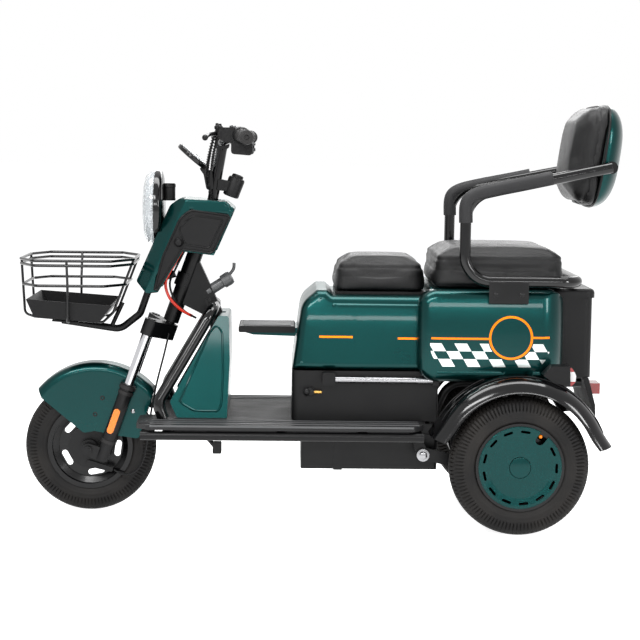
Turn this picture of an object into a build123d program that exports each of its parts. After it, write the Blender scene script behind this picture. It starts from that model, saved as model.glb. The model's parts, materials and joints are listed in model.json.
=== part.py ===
from build123d import *
import os
from math import acos, atan2, cos, degrees, pi, radians, sin, sqrt, tan

# Electric tricycle: one steered front wheel on a telescopic fork, two driven rear
# wheels, a low ribbed footboard, a rider's seat and a passenger seat with a
# bent-tube armrest. Millimetres. -X is forward, +Y is the vehicle's right, +Z is up.

# ------------------------------------------------------------------ driving sizes
CLEARANCE = 0.3            # gap between pieces that are screwed together
RUNNING = 0.05             # radial clearance of a shaft in its bore

# wheels
WHEELBASE = 1168.0
REAR_TRACK = 580.0
FRONT_AXLE_X = -654.0
FRONT_TYRE_R = 183.0
FRONT_TYRE_WIDTH = 66.0
FRONT_RIM_R = 119.0
REAR_TYRE_R = 187.0
REAR_TYRE_WIDTH = 78.0
REAR_RIM_R = 118.0
HUBCAP_R = 111.0
HUBCAP_SLOTS = 13
RIM_SLOTS = 5
AXLE_D = 12.0
HALFSHAFT_D = 25.0

# steering
RAKE = 19.5                # degrees back from upright
HEAD_X = -390.0            # a point on the steering axis
HEAD_Z = 653.0
HEAD_TUBE_D = 44.0
HEAD_TUBE_LOW = -125.0     # ends of the head tube along the axis
HEAD_TUBE_HIGH = 110.0
STEERER_D = 25.4
FORK_OFFSET = 48.0         # legs ahead of the axis
LEG_SPACING = 150.0
STANCHION_D = 27.0
SLIDER_D = 38.0
SLIDER_TOP = -322.0        # along the axis
CROWN_HEIGHT = 44.0

# front fender
FENDER_R = 212.5
FENDER_X = -636.0
FENDER_Z = 208.0
FENDER_WIDTH = 100.0
FENDER_SHOULDER = 24.0
FENDER_WALL = 2.5

# handlebar
BAR_D = 22.2
BAR_WIDTH = 600.0
GRIP_D = 34.0
GRIP_LENGTH = 122.0
GRIP_X = -218.0
GRIP_Z = 1049.0
STEM_D = 30.0
STEM_TOP_X = -291.0
STEM_TOP_Z = 1034.0

# basket
BASKET_FRONT_X = -839.0
BASKET_REAR_X = -524.0
BASKET_WIDTH = 388.0
BASKET_TOP_Z = 717.0
BASKET_RAIL_D = 8.0
BASKET_WIRE_D = 7.0
POST_Y = 100.0
TRAY_DEPTH = 44.0
TRAY_WALL = 2.5

# floor
BOARD_FRONT_X = -507.0
BOARD_REAR_X = 262.0
BOARD_WIDTH = 560.0
BOARD_TOP_Z = 285.0
BOARD_THICKNESS = 13.0
RIB_PITCH = 14.0
RIB_HEIGHT = 2.5
FLOOR_TUBE_D = 24.0
GUARD_D = 32.0

# leg shield
SHIELD_WIDTH = 330.0
SHIELD_TOP_WIDTH = 214.0
SHIELD_WALL = 4.0

# body under the seats
BODY_WIDTH = 392.0
BODY_WALL = 4.0
BODY_SEAM_Z = 424.0
BODY_TOP_Z = 626.0
SKIRT_WIDTH = 384.0
REAR_BODY_WIDTH = 500.0
REAR_BODY_FRONT_X = 244.0
REAR_BODY_REAR_X = 642.0
REAR_BODY_LOW_Z = 400.0
REAR_BODY_TOP_Z = 650.0

# seats
FRONT_SEAT_FRONT_X = 18.0
FRONT_SEAT_REAR_X = 274.0
FRONT_SEAT_WIDTH = 262.0
REAR_SEAT_FRONT_X = 281.0
REAR_SEAT_REAR_X = 648.0
REAR_SEAT_WIDTH = 416.0
SEAT_TOP_Z = 716.0
REAR_SEAT_TOP_Z = 750.0

# rear fenders
ARCH_R = 239.0
ARCH_INNER_R = 200.0
ARCH_OUTER_Y = 345.0
ARCH_INNER_Y = 216.0
ARCH_WALL = 3.0
ARCH_FRONT_ANGLE = 160.0
ARCH_REAR_ANGLE = 14.0

# armrest and backrest
ARM_TUBE_D = 30.0
ARM_SPAN = 470.0
ARM_LOW_Z = 673.0
ARM_FRONT_X = 365.0
ARM_REAR_X = 674.0
BACKREST_X = 745.0
BACKREST_Z = 1008.0
BACKREST_HEIGHT = 288.0
BACKREST_WIDTH = 340.0
BACKREST_TILT = 8.0
BACKREST_PAD = 66.0
BACKREST_SHELL = 68.0

# tail box
BOX_WIDTH = 288.0
BOX_FRONT_X = 560.0
BOX_REAR_X = 728.0
BOX_LOW_Z = 405.0
BOX_TOP_Z = 624.0
BOX_LID = 24.5

# battery box
BATTERY_X0 = -66.0
BATTERY_X1 = 309.0
BATTERY_WIDTH = 280.0
BATTERY_LOW_Z = 146.0

# ------------------------------------------------------------------ derived places
REAR_AXLE_X = FRONT_AXLE_X + WHEELBASE
SIN_RAKE = sin(radians(RAKE))
COS_RAKE = cos(radians(RAKE))
CROWN_TOP = HEAD_TUBE_LOW - 6.0
CROWN_LOW = CROWN_TOP - CROWN_HEIGHT
FLOOR_Z = BOARD_TOP_Z - BOARD_THICKNESS - CLEARANCE
FRAME_RAIL_HEIGHT = 28.0
FRAME_LOW_Z = FLOOR_Z - FRAME_RAIL_HEIGHT
WALK_Z = BOARD_TOP_Z + RIB_HEIGHT


def steer_point(along, forward, y=0.0):
    """A point given along the steering axis, ahead of it and across it."""
    return Vector(
        HEAD_X + along * SIN_RAKE - forward * COS_RAKE,
        y,
        HEAD_Z + along * COS_RAKE + forward * SIN_RAKE,
    )


def steer_plane(along, forward=0.0, y=0.0):
    """A plane square to the steering axis; its local x points ahead."""
    return Plane(
        origin=steer_point(along, forward, y),
        x_dir=(-COS_RAKE, 0, SIN_RAKE),
        z_dir=(SIN_RAKE, 0, COS_RAKE),
    )


def steer_place(x, z):
    """The same point the other way round: its place along and ahead of the axis."""
    dx, dz = x - HEAD_X, z - HEAD_Z
    return dx * SIN_RAKE + dz * COS_RAKE, -dx * COS_RAKE + dz * SIN_RAKE


AXLE_ALONG, AXLE_FORWARD = steer_place(FRONT_AXLE_X, FRONT_TYRE_R)


# ------------------------------------------------------------------ building blocks
def block(x0, x1, y0, y1, z0, z1):
    """A box from its six faces."""
    return Pos((x0 + x1) / 2, (y0 + y1) / 2, (z0 + z1) / 2) * Box(x1 - x0, y1 - y0, z1 - z0)


def side_face(points, radii, y=0.0):
    """A flat face in the XZ plane with rounded corners; radii has one per corner."""
    outline = FilletPolyline(*[(x, y, z) for x, z in points], radius=radii, close=True)
    return make_face(outline.edges())


def side_slab(points, radii, y0, y1):
    """A slab with an XZ outline, from y0 to y1."""
    return extrude(side_face(points, radii, y0), amount=y1 - y0, dir=(0, 1, 0))


def plan_slab(points, radii, z0, z1):
    """A slab with an XY outline, from z0 to z1."""
    outline = FilletPolyline(*[(x, y, z0) for x, y in points], radius=radii, close=True)
    return extrude(make_face(outline.edges()), amount=z1 - z0, dir=(0, 0, 1))


def rod(start, end, diameter):
    """A straight round bar between two points."""
    start, end = Vector(start), Vector(end)
    return Solid.make_cylinder(
        diameter / 2, (end - start).length, Plane(origin=start, z_dir=end - start)
    )


def tube(points, radii, diameter, close=False):
    """A round bar bent along points, with one bend radius per corner."""
    path = FilletPolyline(*points, radius=radii, close=close)
    section = Plane(origin=path @ 0, z_dir=path % 0) * Circle(diameter / 2)
    return sweep(section, path=path)


def cylinder_y(x, z, radius, y0, y1):
    """A disc or shaft across the vehicle."""
    return Solid.make_cylinder(radius, abs(y1 - y0), Plane(origin=(x, min(y0, y1), z), z_dir=(0, 1, 0)))


def spin(points):
    """A solid turned about the Y axis from (radius, y) points."""
    return revolve(make_face(Polyline(*[(r, y) for r, y in points], close=True).edges()), axis=Axis.Y)


def pair(shape):
    """A piece and its mirror image on the vehicle's other side."""
    return Compound(children=[shape, mirror(shape, about=Plane.XZ)])


def both(shape):
    """A piece fused with its mirror image."""
    return shape + mirror(shape, about=Plane.XZ)


# ------------------------------------------------------------------ wheels
def tyre(radius, width, rim_r):
    """A pneumatic tyre with a round tread, seated inside the rim's flanges."""
    half, seat = width / 2, rim_r - 10.0
    bead = half - 5.0 - CLEARANCE
    shoulder_r, shoulder_y = radius - 0.13 * (radius - rim_r), 0.76 * half
    profile = [
        Polyline((seat, 0), (seat, -bead), (rim_r + 2.5, -bead)),
        ThreePointArc(
            (rim_r + 2.5, -bead), ((rim_r + radius) / 2, -half), (shoulder_r, -shoulder_y)
        ),
        ThreePointArc((shoulder_r, -shoulder_y), (radius, 0), (shoulder_r, shoulder_y)),
        ThreePointArc(
            (shoulder_r, shoulder_y), ((rim_r + radius) / 2, half), (rim_r + 2.5, bead)
        ),
        Polyline((rim_r + 2.5, bead), (seat, bead), (seat, 0)),
    ]
    edges = [edge for part in profile for edge in part.edges()]
    return revolve(make_face(edges), axis=Axis.Y)


def rim_barrel(rim_r, width, wall=3.0):
    """The drop-centre barrel of a pressed rim."""
    half = width / 2 - 2.0
    seat, well = rim_r - 10.0 - CLEARANCE, rim_r - 26.0
    outer = [
        (rim_r, -half), (rim_r, -half + wall), (seat, -half + wall),
        (seat, -half + 16.0), (well, -half + 23.0), (well, half - 23.0),
        (seat, half - 16.0), (seat, half - wall), (rim_r, half - wall), (rim_r, half),
    ]
    inner = [
        (seat - wall, half), (seat - wall, half - 17.0), (well - wall, half - 24.0),
        (well - wall, -half + 24.0), (seat - wall, -half + 17.0), (seat - wall, -half),
    ]
    return spin(outer + inner)


def slot_ring(count, radius, length, width, start, reach=90.0):
    """Cutters for oblong holes laid round a circle in the XZ plane."""
    cutters = []
    for index in range(count):
        turn = start + 360.0 * index / count
        slot = Rot(0, 0, turn) * Pos(radius, 0, 0) * Rot(0, 0, 90) * SlotOverall(length, width)
        cutters.append(extrude(Plane.XZ * slot, amount=reach, both=True))
    return cutters


def front_rim():
    """Pressed wheel with a brake drum on the left and five oblong windows."""
    web_r = FRONT_RIM_R - 27.0
    drum_r, drum_depth = 58.0, 26.0
    wheel = rim_barrel(FRONT_RIM_R, FRONT_TYRE_WIDTH)
    wheel += spin([(0, -2), (web_r, -2), (web_r, 3), (0, 3)])
    drum = spin([(drum_r - 5, -drum_depth), (drum_r, -drum_depth), (drum_r, -1), (drum_r - 5, -1)])
    hub = spin([(0, -20), (20, -20), (20, 40), (0, 40)])
    wheel = wheel + drum + hub
    for cutter in slot_ring(RIM_SLOTS, 76.0, 46.0, 17.0, -7.0):
        wheel -= cutter
    wheel -= cylinder_y(0, 0, AXLE_D / 2 + RUNNING, -60, 60)
    return Pos(FRONT_AXLE_X, 0, FRONT_TYRE_R) * wheel


def front_tyre():
    return Pos(FRONT_AXLE_X, 0, FRONT_TYRE_R) * tyre(FRONT_TYRE_R, FRONT_TYRE_WIDTH, FRONT_RIM_R)


def at_rear_left(shape):
    return Pos(REAR_AXLE_X, -REAR_TRACK / 2, REAR_TYRE_R) * shape


def rear_rim():
    """Pressed rear wheel: barrel, dished web and hub on the axle end."""
    web_r = REAR_RIM_R - 27.0
    wheel = rim_barrel(REAR_RIM_R, REAR_TYRE_WIDTH)
    wheel += spin([(0, -8), (web_r, -8), (web_r, -3), (0, -3)])
    wheel += spin([(0, -16), (30, -16), (30, 34), (0, 34)])
    wheel -= cylinder_y(0, 0, HALFSHAFT_D / 2 + RUNNING, -40, 40)
    return at_rear_left(wheel)


def rear_tyre():
    return at_rear_left(tyre(REAR_TYRE_R, REAR_TYRE_WIDTH, REAR_RIM_R))


def hubcap():
    """Vented wheel cover: a shallow dish with oblong vents and a valve cut-out."""
    face_y = -REAR_TYRE_WIDTH / 2 + 4.0
    flange_y = -REAR_TYRE_WIDTH / 2 + 2.0 - CLEARANCE
    edge = HUBCAP_R
    cap = spin([
        (0, face_y), (28, face_y), (29, face_y - 1.5), (edge - 28, face_y - 1.5),
        (edge - 9, flange_y - 3), (edge - 2, flange_y - 3), (edge, flange_y - 1.5), (edge, flange_y),
        (edge - 8, flange_y), (edge - 26, face_y + 2), (0, face_y + 2),
    ])
    cap += spin([(0, face_y + 1.9), (24, face_y + 1.9), (24, -16 - CLEARANCE), (0, -16 - CLEARANCE)])
    for cutter in slot_ring(HUBCAP_SLOTS, edge - 14.5, 26.0, 7.0, 55.0)[1:]:
        cap -= cutter
    valve = Rot(0, 0, 55.0) * Pos(edge - 8.0, 0, 0) * SlotOverall(52.0, 24.0)
    cap -= extrude(Plane.XZ * valve, amount=90.0, both=True)
    return at_rear_left(cap)


# ------------------------------------------------------------------ steering
def leg_point(along, side, forward=FORK_OFFSET):
    return steer_point(along, forward, side * LEG_SPACING / 2)


def fork_castings():
    """Crown with its steerer, and the two sliders with their leading axle lugs."""
    crown = None
    for side in (-1, 1):
        ends = Circle(24) + Pos(FORK_OFFSET, side * LEG_SPACING / 2) * Circle(19.5)
        arm = extrude(steer_plane(CROWN_LOW) * make_hull(ends.edges()), amount=CROWN_HEIGHT)
        crown = arm if crown is None else crown + arm
    crown += rod(steer_point(CROWN_TOP - 1, 0), steer_point(HEAD_TUBE_HIGH + 1.7, 0), STEERER_D)
    for side in (-1, 1):
        crown -= rod(leg_point(CROWN_LOW - 1, side), leg_point(CROWN_TOP - 8, side), STANCHION_D + 2 * CLEARANCE)
    pieces = [crown]
    for side in (-1, 1):
        low = AXLE_ALONG - 16.0
        slider = rod(leg_point(low, side), leg_point(SLIDER_TOP, side), SLIDER_D)
        slider += rod(leg_point(SLIDER_TOP - 14, side), leg_point(SLIDER_TOP, side), SLIDER_D + 5)
        lug_y = side * LEG_SPACING / 2
        plate_pts = make_hull(
            (Circle(19) + Pos(AXLE_FORWARD - FORK_OFFSET, 0) * Circle(17)).edges()
        )
        lug_plane = Plane(
            origin=steer_point(AXLE_ALONG, FORK_OFFSET, lug_y - 12),
            x_dir=(-COS_RAKE, 0, SIN_RAKE), z_dir=(0, 1, 0),
        )
        slider += extrude(lug_plane * plate_pts, amount=24)
        slider -= rod(leg_point(AXLE_ALONG + 30, side), leg_point(SLIDER_TOP + 1, side), STANCHION_D + 2 * CLEARANCE)
        slider -= cylinder_y(FRONT_AXLE_X, FRONT_TYRE_R, AXLE_D / 2 + CLEARANCE, lug_y - 20, lug_y + 20)
        pieces.append(slider)
    return Compound(children=pieces)


def fork_stanchions():
    tubes = [
        rod(leg_point(AXLE_ALONG + 31, side), leg_point(CROWN_TOP - 9, side), STANCHION_D)
        for side in (-1, 1)
    ]
    return Compound(children=tubes)


def fork_reflectors():
    """Oblong side reflectors on the outside of both sliders."""
    out = LEG_SPACING / 2 + SLIDER_D / 2
    plane = Plane(
        origin=steer_point(-430.0, FORK_OFFSET + 4.0, -out - 5),
        x_dir=(SIN_RAKE, 0, COS_RAKE), z_dir=(0, 1, 0),
    )
    body = extrude(plane * SlotOverall(72, 18), amount=9.0)
    body -= rod(leg_point(AXLE_ALONG - 20, -1), leg_point(SLIDER_TOP + 5, -1), SLIDER_D + 2 * CLEARANCE)
    return pair(body)


def front_brake():
    """Axle, brake plate with its anchor and the cable arm."""
    axle_half = LEG_SPACING / 2 + 22
    shaft = cylinder_y(FRONT_AXLE_X, FRONT_TYRE_R, AXLE_D / 2, -axle_half, axle_half)
    plate = cylinder_y(FRONT_AXLE_X, FRONT_TYRE_R, 60, -36, -28)
    plate += cylinder_y(FRONT_AXLE_X, FRONT_TYRE_R, 24, -LEG_SPACING / 2 + 13, -30)
    arm = side_slab(
        [(FRONT_AXLE_X - 14, FRONT_TYRE_R - 52), (FRONT_AXLE_X + 62, FRONT_TYRE_R - 70),
         (FRONT_AXLE_X + 66, FRONT_TYRE_R - 58), (FRONT_AXLE_X - 4, FRONT_TYRE_R - 36)],
        [4, 4, 4, 4], -44, -36,
    )
    nuts = cylinder_y(FRONT_AXLE_X, FRONT_TYRE_R, 11, -axle_half + 2, -axle_half + 9.7)
    nuts += cylinder_y(FRONT_AXLE_X, FRONT_TYRE_R, 11, axle_half - 9.7, axle_half - 2)
    spacer = cylinder_y(FRONT_AXLE_X, FRONT_TYRE_R, 10, 41, LEG_SPACING / 2 - 12.3)
    return shaft + plate + arm + nuts + spacer


def front_fender():
    """Deep front fender: a rounded hood over the tyre with cut-back side panels."""
    half, wall = FENDER_WIDTH / 2, FENDER_WALL
    cx, cz, radius = FENDER_X, FENDER_Z, FENDER_R
    tip, back = Vector(cx - 162, 0, cz + 138), Vector(cx + 160, 0, cz + 140)
    crest = ThreePointArc(tip, (cx, 0, cz + radius), back)
    lower = FilletPolyline(
        back, (cx + 119, 0, cz + 1), (cx + 73, 0, cz + 8), (cx + 52, 0, cz + 96),
        (cx + 12, 0, cz + 96), (cx - 2, 0, cz + 22), (cx - 34, 0, cz + 16),
        (cx - 151, 0, cz + 113), tip, radius=[10, 8, 12, 12, 10, 16, 6],
    )
    outer = extrude(make_face(crest.edges() + lower.edges()), amount=half, dir=(0, 1, 0), both=True)
    crest_edges = [e for e in outer.edges() if e.length > 300 and e.geom_type == GeomType.CIRCLE]
    outer = fillet(crest_edges, FENDER_SHOULDER)
    inner = cylinder_y(cx, cz, radius - wall, -half + wall, half - wall)
    inner = fillet(inner.edges().filter_by(GeomType.CIRCLE), FENDER_SHOULDER - wall)
    inner += block(cx - radius, cx + radius, -half + wall, half - wall, 0, cz)
    leg_face = LEG_SPACING / 2 - SLIDER_D / 2 - CLEARANCE
    at = leg_point(-378.0, -1)
    pad = cylinder_y(at.X, at.Z, 9, -leg_face, -half + wall)
    return (outer - inner) + both(pad)


def stem_tube(diameter):
    """The stem's tube, or a bore for it."""
    points = [
        steer_point(HEAD_TUBE_HIGH + 2, 0), steer_point(HEAD_TUBE_HIGH + 95, 0),
        Vector(STEM_TOP_X, 0, STEM_TOP_Z - 8),
    ]
    return tube(points, [120], diameter)


def bar_tube(diameter):
    """The left half of the swept bar, or a bore for it."""
    points = [
        Vector(STEM_TOP_X, 0, STEM_TOP_Z), Vector(STEM_TOP_X, -52, STEM_TOP_Z),
        Vector(GRIP_X - 20, -150, GRIP_Z + 6), Vector(GRIP_X, -BAR_WIDTH / 2 + 4, GRIP_Z),
    ]
    return tube(points, [40, 50], diameter)


def handlebar():
    """Steering stem with a clamp head and the swept bar."""
    head = block(STEM_TOP_X - 20, STEM_TOP_X + 20, -24, 24, STEM_TOP_Z - 18, STEM_TOP_Z + 16)
    head = fillet(head.edges().filter_by(Axis.Y), 9)
    return stem_tube(STEM_D) + head + both(bar_tube(BAR_D))


def grip_axis(distance):
    """A point on the left grip's centre line, by its distance in from the bar's end."""
    outer = Vector(GRIP_X, -BAR_WIDTH / 2 + 4, GRIP_Z)
    inner = Vector(GRIP_X - 20, -150, GRIP_Z + 6)
    return outer + (inner - outer).normalized() * distance


def grips():
    outer = rod(grip_axis(-4), grip_axis(GRIP_LENGTH - 4), GRIP_D)
    collar = rod(grip_axis(-4), grip_axis(3), GRIP_D + 5)
    bore = rod(grip_axis(0), grip_axis(GRIP_LENGTH), BAR_D + 2 * CLEARANCE)
    return pair(outer + collar - bore)


def bar_controls():
    """Switch housings by the grips and the lock housing behind the stem."""
    pod = block(GRIP_X - 66, GRIP_X + 16, -166, -130, GRIP_Z - 20, GRIP_Z + 24)
    pod = fillet(pod.edges().filter_by(Axis.Y), 18)
    low = block(GRIP_X - 46, GRIP_X + 12, -164, -132, GRIP_Z - 46, GRIP_Z - 16)
    low = fillet(low.edges().filter_by(Axis.Y), 6)
    pod += low
    pod -= bar_tube(BAR_D + 2 * CLEARANCE)
    pods = pair(pod)
    lock = Pos(-262, 0, 915) * Rot(0, 20, 0) * Box(38, 56, 62)
    lock = fillet(lock.edges().filter_by(Axis.Y), 5)
    saddle = block(-305, -262, -18, 18, 905, 935)
    lock += saddle
    lock -= stem_tube(STEM_D + 2 * CLEARANCE)
    return Compound(children=[*pods.solids(), *lock.solids()])


def brake_levers():
    """Lever perches with a mirror hole, and the ball-ended levers."""
    perch = block(GRIP_X - 80, GRIP_X - 6, -124, -100, GRIP_Z - 8, GRIP_Z + 26)
    perch = fillet(perch.edges().filter_by(Axis.Y), 8)
    perch -= bar_tube(BAR_D + 2 * CLEARANCE)
    perch -= rod((GRIP_X - 64, -112, GRIP_Z + 8), (GRIP_X - 64, -112, GRIP_Z + 30), 8)
    lever = tube(
        [Vector(GRIP_X - 84, -112, GRIP_Z + 10), Vector(GRIP_X - 104, -150, GRIP_Z + 6),
         Vector(GRIP_X - 108, -286, GRIP_Z - 2)], [30], 11)
    lever += Pos(GRIP_X - 108, -288, GRIP_Z - 2) * Sphere(8)
    arm = rod((GRIP_X - 74, -112, GRIP_Z + 10), (GRIP_X - 86, -114, GRIP_Z + 10), 13)
    return pair(perch + arm + lever)


def instrument():
    """Round dial housing tilted to the rider, on a bracket ahead of the stem."""
    plane = Plane(origin=(-377, 0, 988), x_dir=(cos(radians(40)), 0, -sin(radians(40))),
                  z_dir=(sin(radians(40)), 0, cos(radians(40))))
    dial = extrude(plane * Circle(50), amount=14)
    dial = fillet(dial.edges(), 4)
    neck = side_slab([(-358, 968), (-318, 955), (-314, 905), (-334, 905), (-342, 945)], [4, 4, 4, 4, 4], -16, 16)
    dial += neck
    return dial - stem_tube(STEM_D + 2 * CLEARANCE)


# ------------------------------------------------------------------ cowl, lamp, basket
COWL_WIDTH = 220.0
COWL_WALL = 3.0
COWL_BEVEL = 34.0
COWL_OUTLINE = [
    (-404, 881), (-279, 873), (-253, 851), (-261, 835), (-308, 727),
    (-393, 737), (-461, 624), (-492, 620), (-522, 653), (-430, 862),
]
COWL_WINDOW = [
    (-374, 850), (-264, 836), (-312, 733), (-396, 743), (-462, 632), (-470, 632),
    (-448, 722), (-401, 827),
]
LAMP_X = -474.0
LAMP_Z = 852.0
LAMP_R = 103.0
LAMP_DEPTH = 34.0


def cowl_form(inset):
    """The cowl's outside shape, or the same shape drawn in by the wall."""
    half = COWL_WIDTH / 2 - inset
    face = side_face(COWL_OUTLINE, [28, 12, 8, 2, 4, 4, 4, 6, 8, 28], -half)
    if inset:
        face = offset(face, -inset)
    solid = extrude(face, amount=2 * half, dir=(0, 1, 0))
    nose = Vector(92, 0, 209).normalized()
    for side in (-1, 1):
        corner = make_face(Polyline(
            (-530 + inset, side * (half - COWL_BEVEL), 653), (-530 + inset, side * (half + 1), 653),
            (-520 + inset + 1.1 * COWL_BEVEL, side * (half + 1), 653), close=True).edges())
        solid -= extrude(corner, amount=330, dir=nose)
        solid -= extrude(corner, amount=80, dir=-nose)
    return solid


BRACKET_D = 20.0


def bracket_tube(diameter):
    """The basket's carrying tube, or a bore for it."""
    points = [
        Vector(-735, 0, basket_floor(-735) - BASKET_WIRE_D / 2 - BRACKET_D / 2 - CLEARANCE),
        Vector(-572, 0, 511), Vector(-517, 0, 555), Vector(-486, 0, 645), Vector(-420, 0, 668),
    ]
    return tube(points, [40, 30, 30], diameter)


def basket_bracket():
    """Bent tube with a cross plate that carries the basket from the head tube."""
    bracket = bracket_tube(BRACKET_D)
    plate = Pos(-715, 0, basket_floor(-715) - BASKET_WIRE_D / 2 - CLEARANCE - 2.2) * Rot(0, 4.3, 0)
    bracket += plate * Box(70, 2 * POST_Y + 10, 4)
    strut = rod((-600, 0, 512), (-566, 0, 586), 12)
    clamp = rod(steer_point(-22, 0), steer_point(16, 0), HEAD_TUBE_D + 12)
    clamp -= extrude(steer_plane(-40) * (Pos(-50, 0) * Rectangle(90, 90)), amount=80)
    clamp += bracket + strut
    return clamp - rod(steer_point(-60, 0), steer_point(60, 0), HEAD_TUBE_D + 2 * CLEARANCE)


def front_cowl():
    """Green nose shell with bevelled flanks and side windows, open behind and below."""
    hollow = cowl_form(COWL_WALL)
    shell = cowl_form(0) - hollow - Pos(45, 0, -30) * hollow
    window = side_slab(COWL_WINDOW, [16, 10, 6, 6, 2, 2, 6, 16], -COWL_WIDTH, COWL_WIDTH)
    shell -= window
    shell -= steering_cut()
    shell -= cylinder_x(LAMP_X - 60, LAMP_X + 17 + CLEARANCE, 0, LAMP_Z, LAMP_R + CLEARANCE)
    return shell - bracket_tube(BRACKET_D + 1)


def cylinder_x(x0, x1, y, z, radius):
    return Solid.make_cylinder(radius, x1 - x0, Plane(origin=(x0, y, z), z_dir=(1, 0, 0)))


def steering_cut():
    """Room for the stem where it leaves the cowl's top."""
    return Pos(-308, 0, 870) * Cylinder(26, 60)


def cowl_panels():
    """Black side panels that fill the cowl's windows, slightly sunk."""
    half = COWL_WIDTH / 2
    face = offset(side_face(COWL_WINDOW, [16, 10, 6, 6, 2, 2, 6, 16], -half + 2), -CLEARANCE)
    return pair(extrude(face, amount=4, dir=(0, 1, 0)))


def headlight_housing():
    """Round lamp shell behind the lens, and the turn-signal can on the cowl's shoulder."""
    shell = cylinder_x(LAMP_X, LAMP_X + 17, 0, LAMP_Z, LAMP_R)
    shell = fillet(shell.edges().filter_by(GeomType.CIRCLE).sort_by(Axis.X)[-1:], 6)
    can = Pos(-440, 0, 895) * Cylinder(19.5, 40)
    return shell + can


def headlight_lens():
    """Round lens with a full, rounded edge."""
    lens = cylinder_x(LAMP_X - LAMP_DEPTH, LAMP_X - CLEARANCE, 0, LAMP_Z, LAMP_R)
    return fillet(lens.edges().filter_by(GeomType.CIRCLE).sort_by(Axis.X)[:1], 24)


def basket_ring(z, front, rear, half, wire):
    """A closed rail with clipped corners, given by its centre line."""
    points = [
        (front, -POST_Y), (front + 44, -half), (rear - 54, -half), (rear, -POST_Y + 5),
        (rear, POST_Y - 5), (rear - 54, half), (front + 44, half), (front, POST_Y),
    ]
    return tube([Vector(x, y, z) for x, y in points], [14] * len(points), wire, close=True)


def basket_floor(x):
    """Height of the floor hoops' centre line."""
    return 553.0 - (x + 799.0) * 14.0 / 187.0


def basket():
    """Wire basket: double top rail, middle rail and two floor hoops."""
    wire, half = BASKET_WIRE_D, BASKET_WIDTH / 2 - BASKET_RAIL_D / 2
    top = BASKET_TOP_Z - BASKET_RAIL_D / 2
    front, rear = BASKET_FRONT_X + BASKET_RAIL_D / 2, BASKET_REAR_X - BASKET_RAIL_D / 2
    rails = basket_ring(top, front, rear, half, BASKET_RAIL_D)
    rails += basket_ring(top - 13, front + 1, rear - 2, half - 1, BASKET_RAIL_D)
    rails += basket_ring(644, front + 6, rear - 22, half - 22, BASKET_RAIL_D)
    for y in (-POST_Y + 8, POST_Y - 8):
        hoop = [
            Vector(front + 1, y, top), Vector(front + 10, y, 562), Vector(-799, y, basket_floor(-799)),
            Vector(-612, y, basket_floor(-612)), Vector(-584, y, 566), Vector(rear, y, top),
        ]
        rails += tube(hoop, [16, 16, 14, 14], wire)
    for y in (-half, half):
        inward = 22 if y < 0 else -22
        rails += tube(
            [Vector(-700, y, top), Vector(-700, y + inward, 644), Vector(-700, y + 1.1 * inward, basket_floor(-700)),
             Vector(-700, 0, basket_floor(-700))], [30, 12], wire)
    return rails


def basket_tray():
    """Shallow pan that lies on the floor hoops."""
    x0, x1, half, wall = BASKET_FRONT_X + 24, -583.0, 150.0, TRAY_WALL
    gap = BASKET_WIRE_D / 2 + CLEARANCE
    low_front, low_rear = basket_floor(x0 + 22) + gap, basket_floor(x1 - 34) + gap
    outer = side_slab(
        [(x0, 606), (x0 + 22, low_front), (x1 - 34, low_rear), (x1, 590)], [1, 14, 14, 1],
        -half, half)
    inner = side_slab(
        [(x0 + wall, 607), (x0 + 22 + wall, low_front + wall),
         (x1 - 34 - wall, low_rear + wall), (x1 - wall, 591)], [1, 12, 12, 1],
        -half + wall, half - wall)
    return outer - inner


# ------------------------------------------------------------------ frame
def main_frame():
    """Welded frame: head tube, neck, floor rails and the rear rails."""
    head = rod(steer_point(HEAD_TUBE_LOW, 0), steer_point(HEAD_TUBE_HIGH, 0), HEAD_TUBE_D)
    neck = side_slab(
        [(-372, 700), (-350, 700), (-285, 560), (-320, 545), (-410, 590)], [3, 3, 8, 8, 3], -16, 16)
    down = tube([Vector(-330, 0, 600), Vector(-304, 0, 545), Vector(-304, 0, FRAME_LOW_Z + 10)], [60], 36)
    frame = head + neck + down
    frame -= rod(steer_point(HEAD_TUBE_LOW - 1, 0), steer_point(HEAD_TUBE_HIGH + 1, 0), STEERER_D + 2 * RUNNING)
    low, high = FRAME_LOW_Z, FLOOR_Z
    for side in (-1, 1):
        frame += block(-440, BOARD_REAR_X, side * 165 - 15, side * 165 + 15, low, high)
    for x in (-425, -304, -120, 100, 245):
        frame += block(x - 15, x + 15, -180, 180, low, high)
    edge_y = BOARD_WIDTH / 2 - FLOOR_TUBE_D / 2 + 4
    tube_z = low + FLOOR_TUBE_D / 2
    edge = rod((BOARD_FRONT_X + 12, -edge_y, tube_z), (BOARD_REAR_X, -edge_y, tube_z), FLOOR_TUBE_D)
    for x in (-425, -120, 100, 245):
        edge += block(x - 12, x + 12, -edge_y, -170, low + 4, high - 4)
    frame += both(edge)
    rear = tube(
        [Vector(BOARD_REAR_X + 20, -120, low + 14), Vector(338, -120, 385), Vector(BOX_REAR_X - 24.3, -120, 388)],
        [60], 24)
    rear += block(230, BOARD_REAR_X + 32, -134, -106, low, high)
    rear += block(REAR_AXLE_X - 16, REAR_AXLE_X + 24, -172, -118, 376, 392)
    frame += both(rear)
    brace = steer_point(90, HEAD_TUBE_D / 2 + 5)
    frame += cylinder_y(brace.X, brace.Z, 7, -COWL_WIDTH / 2 + 6 + CLEARANCE, COWL_WIDTH / 2 - 6 - CLEARANCE)
    frame += rod((REAR_AXLE_X, -ARCH_OUTER_Y + 40, 414), (REAR_AXLE_X, ARCH_OUTER_Y - 40, 414), 16)
    frame += block(REAR_AXLE_X - 8, REAR_AXLE_X + 8, -128, 128, 380, 412)
    return frame


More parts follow.
